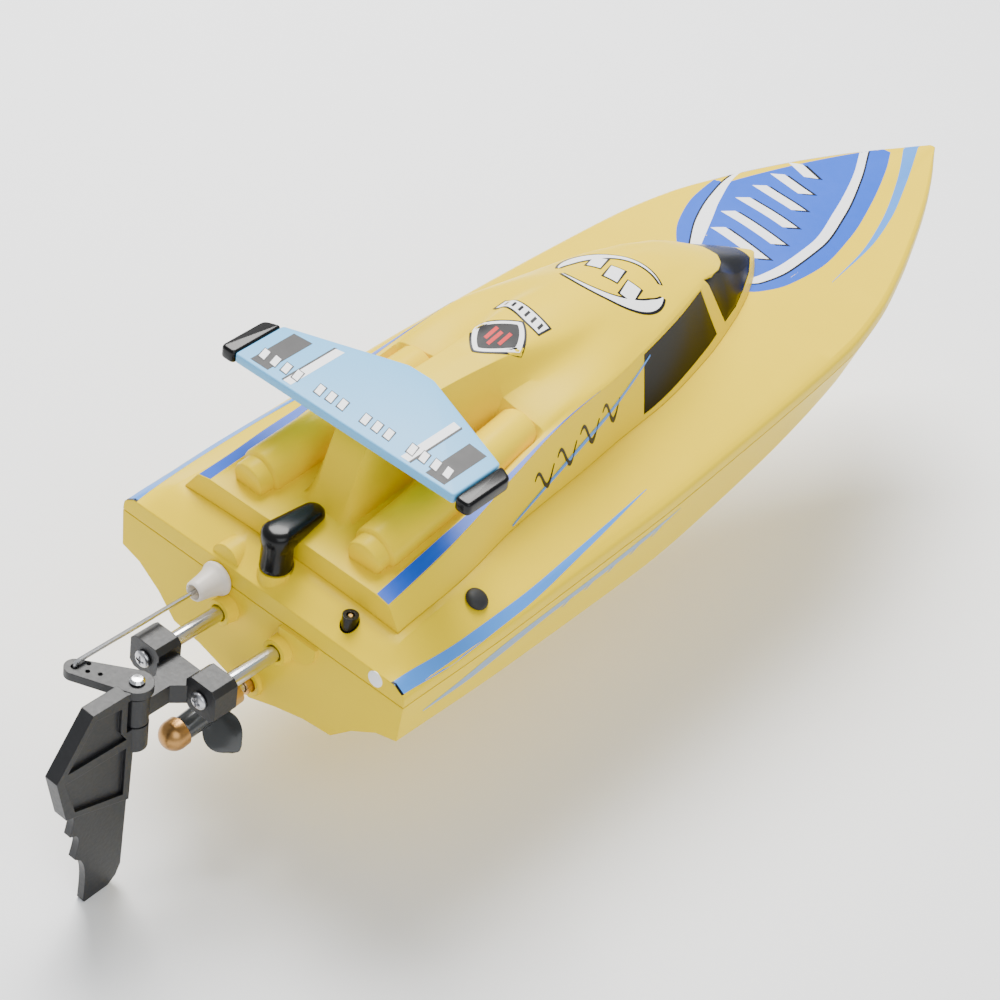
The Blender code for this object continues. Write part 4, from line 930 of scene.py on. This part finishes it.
def make_boot():
    profile = [(2.6, 0.0), (4.3, 0.05), (4.6, 0.5), (4.5, 1.2), (4.1, 1.6), (3.7, 2.6),
               (3.2, 4.6), (2.75, 7.6), (2.6, 8.2), (2.3, 8.55), (2.0, 8.5), (1.9, 7.8),
               (2.1, 1.5), (2.6, 0.6)]
    start = Vector((TILLER[0], GAP, ROD_Z))

    def boot(bm):
        rows = []
        for k in range(44):
            a = 2 * pi * k / 44
            rows.append([bm.verts.new(start + Vector((r * cos(a), h, r * sin(a))))
                         for r, h in profile])
        for a, b in zip(rows, rows[1:] + rows[:1]):
            for i in range(len(profile)):
                j = (i + 1) % len(profile)
                bm.faces.new([a[i], a[j], b[j], b[i]])

    piece = place_mesh("rod_boot", boot, SILICONE, "hull", smooth=50)
    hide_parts("pushrod_boot")


def make_plug():
    base, up = drain_axis()
    profile = [(0, 1.5), (0.9, 1.46), (1.8, 1.3), (2.5, 0.95), (2.95, 0.45), (3.0, 0.12),
               (2.9, 0.0), (1.8, -0.05), (1.8, -3.5), (0, -3.5)]
    plug = place_mesh("drain_bung", lambda bm: turn_solid(bm, profile, base + up * 0.45, up, 40),
                      RUBBER, "hull", smooth=40)
    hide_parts("drain_plug")


# ---- printed decoration
def ribbon(name, first, second, lay, mat, body, lift=0.07, across=4):
    """Printed film between two edge lines, laid on a surface and sunk a little into it."""
    def build(bm):
        top, low = [], []
        for a, b in zip(first, second):
            line = spread(a, b, across) + [b]
            top.append([bm.verts.new(lay(u, v, lift)) for u, v in line])
            low.append([bm.verts.new(lay(u, v, -0.2)) for u, v in line])
        last = len(top) - 1
        for r in range(last):
            for c in range(across):
                bm.faces.new([top[r][c], top[r][c + 1], top[r + 1][c + 1], top[r + 1][c]])
                bm.faces.new([low[r][c], low[r + 1][c], low[r + 1][c + 1], low[r][c + 1]])
            for c in (0, across):
                bm.faces.new([top[r][c], top[r + 1][c], low[r + 1][c], low[r][c]])
        for r in (0, last):
            for c in range(across):
                bm.faces.new([top[r][c], top[r][c + 1], low[r][c + 1], low[r][c]])

    return place_mesh(name, build, mat, body, smooth=40)


def on_deck(x, y, lift):
    return (x, y, deck_z(-y, x) + lift)


def on_roof(x, y, lift):
    return (x, y, roof_z(-y, x) + lift)


def on_wing(x, y, lift):
    return (x, y, wing_top(y) + lift)


def on_side(side):
    """Surface of the topside: (distance, height) to a point just outside the hull."""
    def lay(d, z, lift):
        top, low = sheer(d) - 3.45, chine_z(d)
        x = half_breadth(d) - chine_in(d) * (top - z) / (top - low)
        return (side * (x + lift), -d, z)
    return lay


def along(starts, stops, count):
    return [starts + (stops - starts) * i / count for i in range(count + 1)]


def lozenge(cx, cy, half_x, half_y, power, count=28):
    """Edges of a rounded diamond or oval, from its front to its rear point."""
    left, right = [], []
    for i in range(count + 1):
        s = -cos(pi * i / count)
        w = half_x * max(1 - abs(s) ** power, 0.0) ** (1 / power) + 0.02
        left.append((cx - w, cy + half_y * s))
        right.append((cx + w, cy + half_y * s))
    return left, right


def bar(x0, y0, x1, y1, width, slant=0.0, count=6):
    """Edges of a straight bar between two points; slant skews its ends."""
    run = Vector((x1 - x0, y1 - y0)).normalized()
    side = Vector((-run.y, run.x)) * width / 2
    left, right = [], []
    for spot in spread((x0, y0), (x1, y1), count) + [(x1, y1)]:
        a = Vector(spot) + side + run * slant
        b = Vector(spot) - side - run * slant
        left.append((a.x, a.y))
        right.append((b.x, b.y))
    return left, right


def side_stripes():
    outer = track([(0.05, 46.0), (20, 47.2), (41, 47.0), (64, 45.4), (97, 41.7)])
    inner = track([(0.05, 42.6), (23, 44.4), (42, 44.6), (65, 43.6), (97, 41.6)])
    low = track([(8, -6.0), (20, -5.6), (38, -3.5), (54, -1.6), (72, -0.5), (90, 1.3), (106, 4.2)])
    high = track([(8, -5.7), (20, -3.7), (37, -0.7), (54, 0.3), (72, 1.4), (90, 3.1), (106, 4.3)])
    for side, label in SIDES:
        spots = along(0.05, 97.0, 60)
        reach = [half_breadth(d) - 0.35 for d in spots]
        ribbon("deck_stripe_" + label,
               [(side * min(outer(d), r), -d) for d, r in zip(spots, reach)],
               [(side * min(inner(d), r), -d) for d, r in zip(spots, reach)],
               on_deck, SKY, "hull")
        ribbon("deck_stripe_end_" + label, [(side * 46.0, -0.04), (side * 46.2, -0.7)],
               [(side * 42.5, -0.04), (side * 42.6, -0.7)], on_deck, INK, "hull", 0.09)
        spots = along(9.6, 93.0, 50)
        a = [(d, 0.06) for d in spots]
        b = [(d, 0.06 + 0.9 * min(1.0, (93.2 - d) / 60.0)) for d in spots]

        def lay(d, t, lift, s=side):
            x0, z0 = blend_point(RAIL, d)
            x1, z1 = blend_point(RAIL_IN, d)
            return (s * (x0 + (x1 - x0) * t), -d, z0 + (z1 - z0) * t + lift)

        ribbon("rail_stripe_" + label, a, b, lay, BLUE, "canopy", 0.08, 3)
        spots = along(8.0, 106.0, 60)
        ribbon("topside_flash_" + label, [(d, low(d)) for d in spots],
               [(d, high(d)) for d in spots], on_side(side), SLATE, "hull", 0.07, 3)
        for k in range(5):
            d = 58 + 9 * k
            ribbon("topside_tick_%s_%d" % (label, k), [(d, low(d) - 0.9), (d + 3.0, low(d) + 0.6)],
                   [(d + 1.1, low(d) - 0.9), (d + 4.1, low(d) + 0.6)], on_side(side), SLATE,
                   "hull", 0.07, 2)


def flank_flourish():
    """Plain curved strokes on the cabin's flank."""
    for side, label in SIDES:
        def lay(d, t, lift, s=side):
            low = (BASE_X(d), deck_z(d, BASE_X(d)))
            x1, z1 = blend_point(RAIL, d)
            return (s * (low[0] + (x1 - low[0]) * t + lift), -d, low[1] + (z1 - low[1]) * t
                    + 0.4 * lift)

        for k in range(4):
            start, stop = 64.0 + 9.5 * k, 75.0 + 9.5 * k
            a, b = [], []
            for i in range(25):
                t = i / 24
                d = start + (stop - start) * t
                mid = 0.42 + 0.05 * k + 0.16 * sin(2 * pi * t + 0.6)
                wide = 0.035 * sin(pi * t) + 0.008
                a.append((d - 3.0 * (t - 0.5), mid - wide))
                b.append((d - 3.0 * (t - 0.5), mid + wide))
            ribbon("flank_stroke_%s_%d" % (label, k), a, b, lay, INK, "canopy", 0.1, 2)
        spots = along(56.0, 118.0, 60)
        mid = track([(56, 0.1), (75, 0.3), (95, 0.52), (118, 0.86)])
        ribbon("flank_line_" + label, [(d, mid(d) - 0.012) for d in spots],
               [(d, mid(d) + 0.012 + 0.035 * sin(pi * (d - 56) / 62)) for d in spots], lay, SKY,
               "canopy", 0.08, 2)


def bow_panel():
    """Blue oval on the foredeck with a white ring and slanted bars, and a band beside it."""
    def keep(d, x):
        return max(min(x, half_breadth(d) - 0.9), -half_breadth(d) + 0.9)

    def film(name, star, port, start, stop, mat, lift):
        spots = along(start, stop, 70)
        ribbon(name, [(keep(d, star(d)), -d) for d in spots],
               [(keep(d, port(d)), -d) for d in spots], on_deck, mat, "hull", lift, 10)

    outer_s = track([(178, -6.0), (185, -12.4), (196, -16.1), (210, -17.2), (230, -14.1),
                     (250, -8.2), (272, 0.3), (285, 6.6)])
    outer_p = track([(178, 8.0), (186, 17.0), (199, 26.0), (215, 31.4), (231, 33.0), (285, 33.0)])
    film("bow_oval", outer_s, outer_p, 178, 284, BLUE, 0.05)
    ring_s = track([(182, -5.0), (189, -10.4), (201, -12.3), (218, -11.5), (238, -6.5),
                    (260, 2.0), (279, 11.2)])
    hole_s = track([(182, -2.5), (191, -8.1), (203, -9.2), (217, -8.6), (237, -3.4),
                    (259, 4.4), (279, 14.0)])
    film("bow_ring_shade", lambda d: ring_s(d) - 0.6, ring_s, 183, 280, INK, 0.08)
    film("bow_ring_near", ring_s, hole_s, 183, 280, WHITE, 0.08)
    ring_p = track([(186, 13.0), (203, 22.5), (217, 27.6), (230, 30.4), (245, 31.0)])
    hole_p = track([(186, 10.0), (206, 19.1), (217, 24.1), (233, 29.4), (245, 30.5)])
    film("bow_ring_far", hole_p, ring_p, 187, 236, WHITE, 0.08)
    film("bow_ring_far_shade", ring_p, lambda d: ring_p(d) + 0.6, 187, 232, INK, 0.08)
    band_out = track([(207.5, -23.3), (231, -20.6), (249, -16.2), (271, -7.9), (297, 3.4)])
    band_in = track([(207.5, -23.2), (226, -20.5), (245, -15.3), (268, -6.1), (297, 8.6)])
    film("bow_band", band_out, band_in, 207.5, 296, SKY, 0.06)
    for k in range(6):
        y, wide = -201.0 - 10.0 * k, (18.5, 21.0, 20.0, 17.0, 13.0, 8.5)[k]
        middle = 5.6 + 2.3 * k
        for mat, dx, dy, lift in ((INK, -1.4, -0.5, 0.08), (WHITE, 0.0, 0.0, 0.11)):
            a, b = bar(middle - wide / 2 + dx, y + 2.0 + dy, middle + wide / 2 + dx, y - 2.0 + dy,
                       3.7, 1.2)
            ribbon("bow_bar_%d" % k, a, b, on_deck, mat, "hull", lift, 3)


def roof_marks():
    thick = track([(0, 0.02), (0.16, 0.2), (0.34, 0.25), (0.6, 0.16), (1, 0.01)])
    for turn in (0, 180):
        for mat, edge, lift in ((INK, 0.05, SHADE_LIFT), (WHITE, 0.0, PRINT_LIFT)):
            outer, inner = [], []
            for i in range(49):
                t = i / 48
                a = radians(turn - 30 + 158 * t)
                wide = thick(t)
                for out, scale in ((outer, 1 + edge), (inner, 1 - wide - edge)):
                    out.append((1.0 + 15.3 * scale * cos(a), -128.6 - 12.2 * scale * sin(a)))
            ribbon("roof_crescent_%d" % turn, outer, inner, on_roof, mat, "canopy", lift, 3)
    for k in range(3):
        x, y = 8.4 - 7.6 * k, -131.8 + 2.6 * k
        for mat, grow, lift in ((INK, 1.0, SHADE_LIFT), (WHITE, 0.0, PRINT_LIFT)):
            a, b = bar(x + 1.3, y - 3.4 - grow / 2, x - 1.3, y + 3.4 + grow / 2, 4.0 + grow, 0.5)
            ribbon("roof_bar_%d" % k, a, b, on_roof, mat, "canopy", lift, 3)
    for mat, grow, lift in ((INK, 0.8, SHADE_LIFT), (WHITE, 0.0, PRINT_LIFT), (INK, -1.6, 0.22)):
        a, b = lozenge(0.2, -80.3, 7.3 + grow, 9.2 + grow, 1.25)
        ribbon("roof_badge", a, b, on_roof, mat, "canopy", lift, 8)
    for x, y, high in ((2.2, -80.0, 3.0), (0.2, -79.0, 3.4), (-1.8, -80.6, 3.0)):
        a, b = bar(x + 0.5, y - high, x - 0.5, y + high, 1.1, 0.2)
        ribbon("roof_badge_bar", a, b, on_roof, RED, "canopy", 0.26, 2)
    front = track([(0, -98.6), (0.35, -97.0), (0.7, -95.2), (1, -93.7)])
    rear = track([(0, -94.8), (0.35, -93.0), (0.7, -90.9), (1, -89.6)])
    for mat, grow, lift in ((INK, 0.6, SHADE_LIFT), (WHITE, 0.0, PRINT_LIFT)):
        a, b = [], []
        for i in range(25):
            t = i / 24
            x = 12.4 + grow - (17.8 + 2 * grow) * t
            a.append((x, front(t) - grow))
            b.append((x, rear(t) + grow))
        ribbon("roof_banner", a, b, on_roof, mat, "canopy", lift, 3)
    for k in range(6):
        t = 0.1 + 0.16 * k
        x = 12.4 - 17.8 * t
        a, b = bar(x, front(t) + 0.8, x - 0.5, rear(t) - 0.8, 0.9, 0.3, 3)
        ribbon("roof_banner_tick", a, b, on_roof, INK, "canopy", 0.21, 2)


def wing_marks():
    for side in (1, -1):
        for x0, x1, mat, lift in ((17.7, 20.2, WHITE, 0.06), (20.2, 20.8, INK, 0.06),
                                  (25.4, 31.2, INK, 0.05)):
            front = -42.6 if mat is WHITE or x0 < 21 else -39.4
            a = [(side * x0, -24.0), (side * x0, (front - 24.0) / 2), (side * x0, front)]
            b = [(side * x1, -24.0), (side * x1, (front - 24.0) / 2), (side * x1, front + 0.5)]
            ribbon("wing_mark", a, b, on_wing, mat, "canopy", lift, 3)
    for k in range(17):
        x = 30.2 - 3.7 * k
        if k in (4, 8, 12):
            continue
        for mat, grow, lift in ((INK, 0.6, 0.08), (WHITE, 0.0, 0.11)):
            a, b = bar(x + 0.5, -29.4 - grow / 2, x - 0.5, -26.2 + grow / 2, 1.8 + grow, 0.4, 2)
            ribbon("wing_tick", a, b, on_wing, mat, "canopy", lift, 2)


# Painted highlight: a small white disc on the starboard transom rim that stands for a bright
# highlight spot there.
def transom_painted_highlight():
    def disc(bm):
        turn_solid(bm, [(0, 0.0), (2.2, 0.0), (2.15, 0.22), (1.6, 0.32), (0, 0.35)],
                   (-37.9, -0.1, 2.85), (0, 1, 0), 40)

    place_mesh("transom_painted_highlight", disc, WHITE, "hull", smooth=50)


def paint_nodes():
    """CAD nodes that are shown as they are, with their finish."""
    finishes = {
        STEEL: ["tube_port", "tube_starboard", "rudder_pin", "pushrod", "drive_shaft",
                "motor_shaft", "motor_mount"],
        SCREW: ["motor_screw_port", "motor_screw_starboard", "latch_screw", "wing_screw_front",
                "wing_screw_rear", "servo_screw_front", "servo_screw_rear"],
        CAN: ["motor"],
        BRASS: ["stuffing_tube", "shaft_coupling", "drive_dog"],
        BLACK: ["antenna_socket", "servo_case", "receiver"],
        NYLON: ["rudder_bracket"],
        RUBBER: ["battery_strap", "receiver_pad"],
        PLYWOOD: ["servo_tray", "battery_cradle"],
        SLEEVE: ["battery"],
        WHITE_NYLON: ["servo_horn"],
    }
    for mat, names in finishes.items():
        for name in names:
            slots = frame["nodes"][name].data.materials
            slots.clear()
            slots.append(mat)


# ---- stage
def make_stage():
    floor_mat = surface("paper_floor", srgb(250, 251, 253), 0.65, grain=30, vary=0.01, bump=0.01)
    bpy.ops.mesh.primitive_plane_add(size=12.0, location=(0, 0, 0))
    floor = bpy.context.object
    floor.name = "floor"
    floor.data.materials.append(floor_mat)
    world_light = bpy.data.worlds.new("studio")
    world_light.use_nodes = True
    backdrop = world_light.node_tree.nodes["Background"]
    backdrop.inputs["Color"].default_value = (0.93, 0.96, 1.0, 1.0)
    backdrop.inputs["Strength"].default_value = 0.6
    bpy.context.scene.world = world_light
    add_area((0.5, -0.35, 1.1), 0.7, 36.0, (1.0, 0.985, 0.96))
    add_area((-0.9, 0.6, 0.9), 1.0, 9.0, (0.95, 0.98, 1.0))


def add_area(place, size, power, colour):
    light = bpy.data.lights.new("softbox", "AREA")
    light.shape = "SQUARE"
    light.size = size
    light.energy = power
    light.color = colour
    lamp = bpy.data.objects.new("softbox", light)
    lamp.location = place
    lamp.rotation_euler = (-Vector(place)).to_track_quat("-Z", "Y").to_euler()
    bpy.context.scene.collection.objects.link(lamp)


def add_camera():
    """Camera above and behind the starboard quarter."""
    azimuth, elevation, roll = radians(213.912), radians(38.175), radians(10.280)
    back = Vector((sin(azimuth) * cos(elevation), -cos(azimuth) * cos(elevation), sin(elevation)))
    right = (-back).cross(Vector((0, 0, 1))).normalized()
    up = right.cross(-back)
    turned_right = right * cos(roll) + up * sin(roll)
    turned_up = up * cos(roll) - right * sin(roll)
    data = bpy.data.cameras.new("camera")
    data.lens = 84.48
    data.sensor_width = 36.0
    camera = bpy.data.objects.new("camera", data)
    pose = Matrix((turned_right, turned_up, back)).transposed().to_4x4()
    pose.translation = world(-277.16, 318.33, 373.79)
    camera.matrix_world = pose
    bpy.context.scene.collection.objects.link(camera)
    bpy.context.scene.camera = camera


paint_nodes()
make_hull()
make_deck()
make_canopy()
make_wing()
make_latch()
make_screws()
make_rudder()
make_drive_parts()
make_boot()
make_plug()
make_antenna_contact()
side_stripes()
flank_flourish()
bow_panel()
roof_marks()
wing_marks()
transom_painted_highlight()
make_stage()
add_camera()
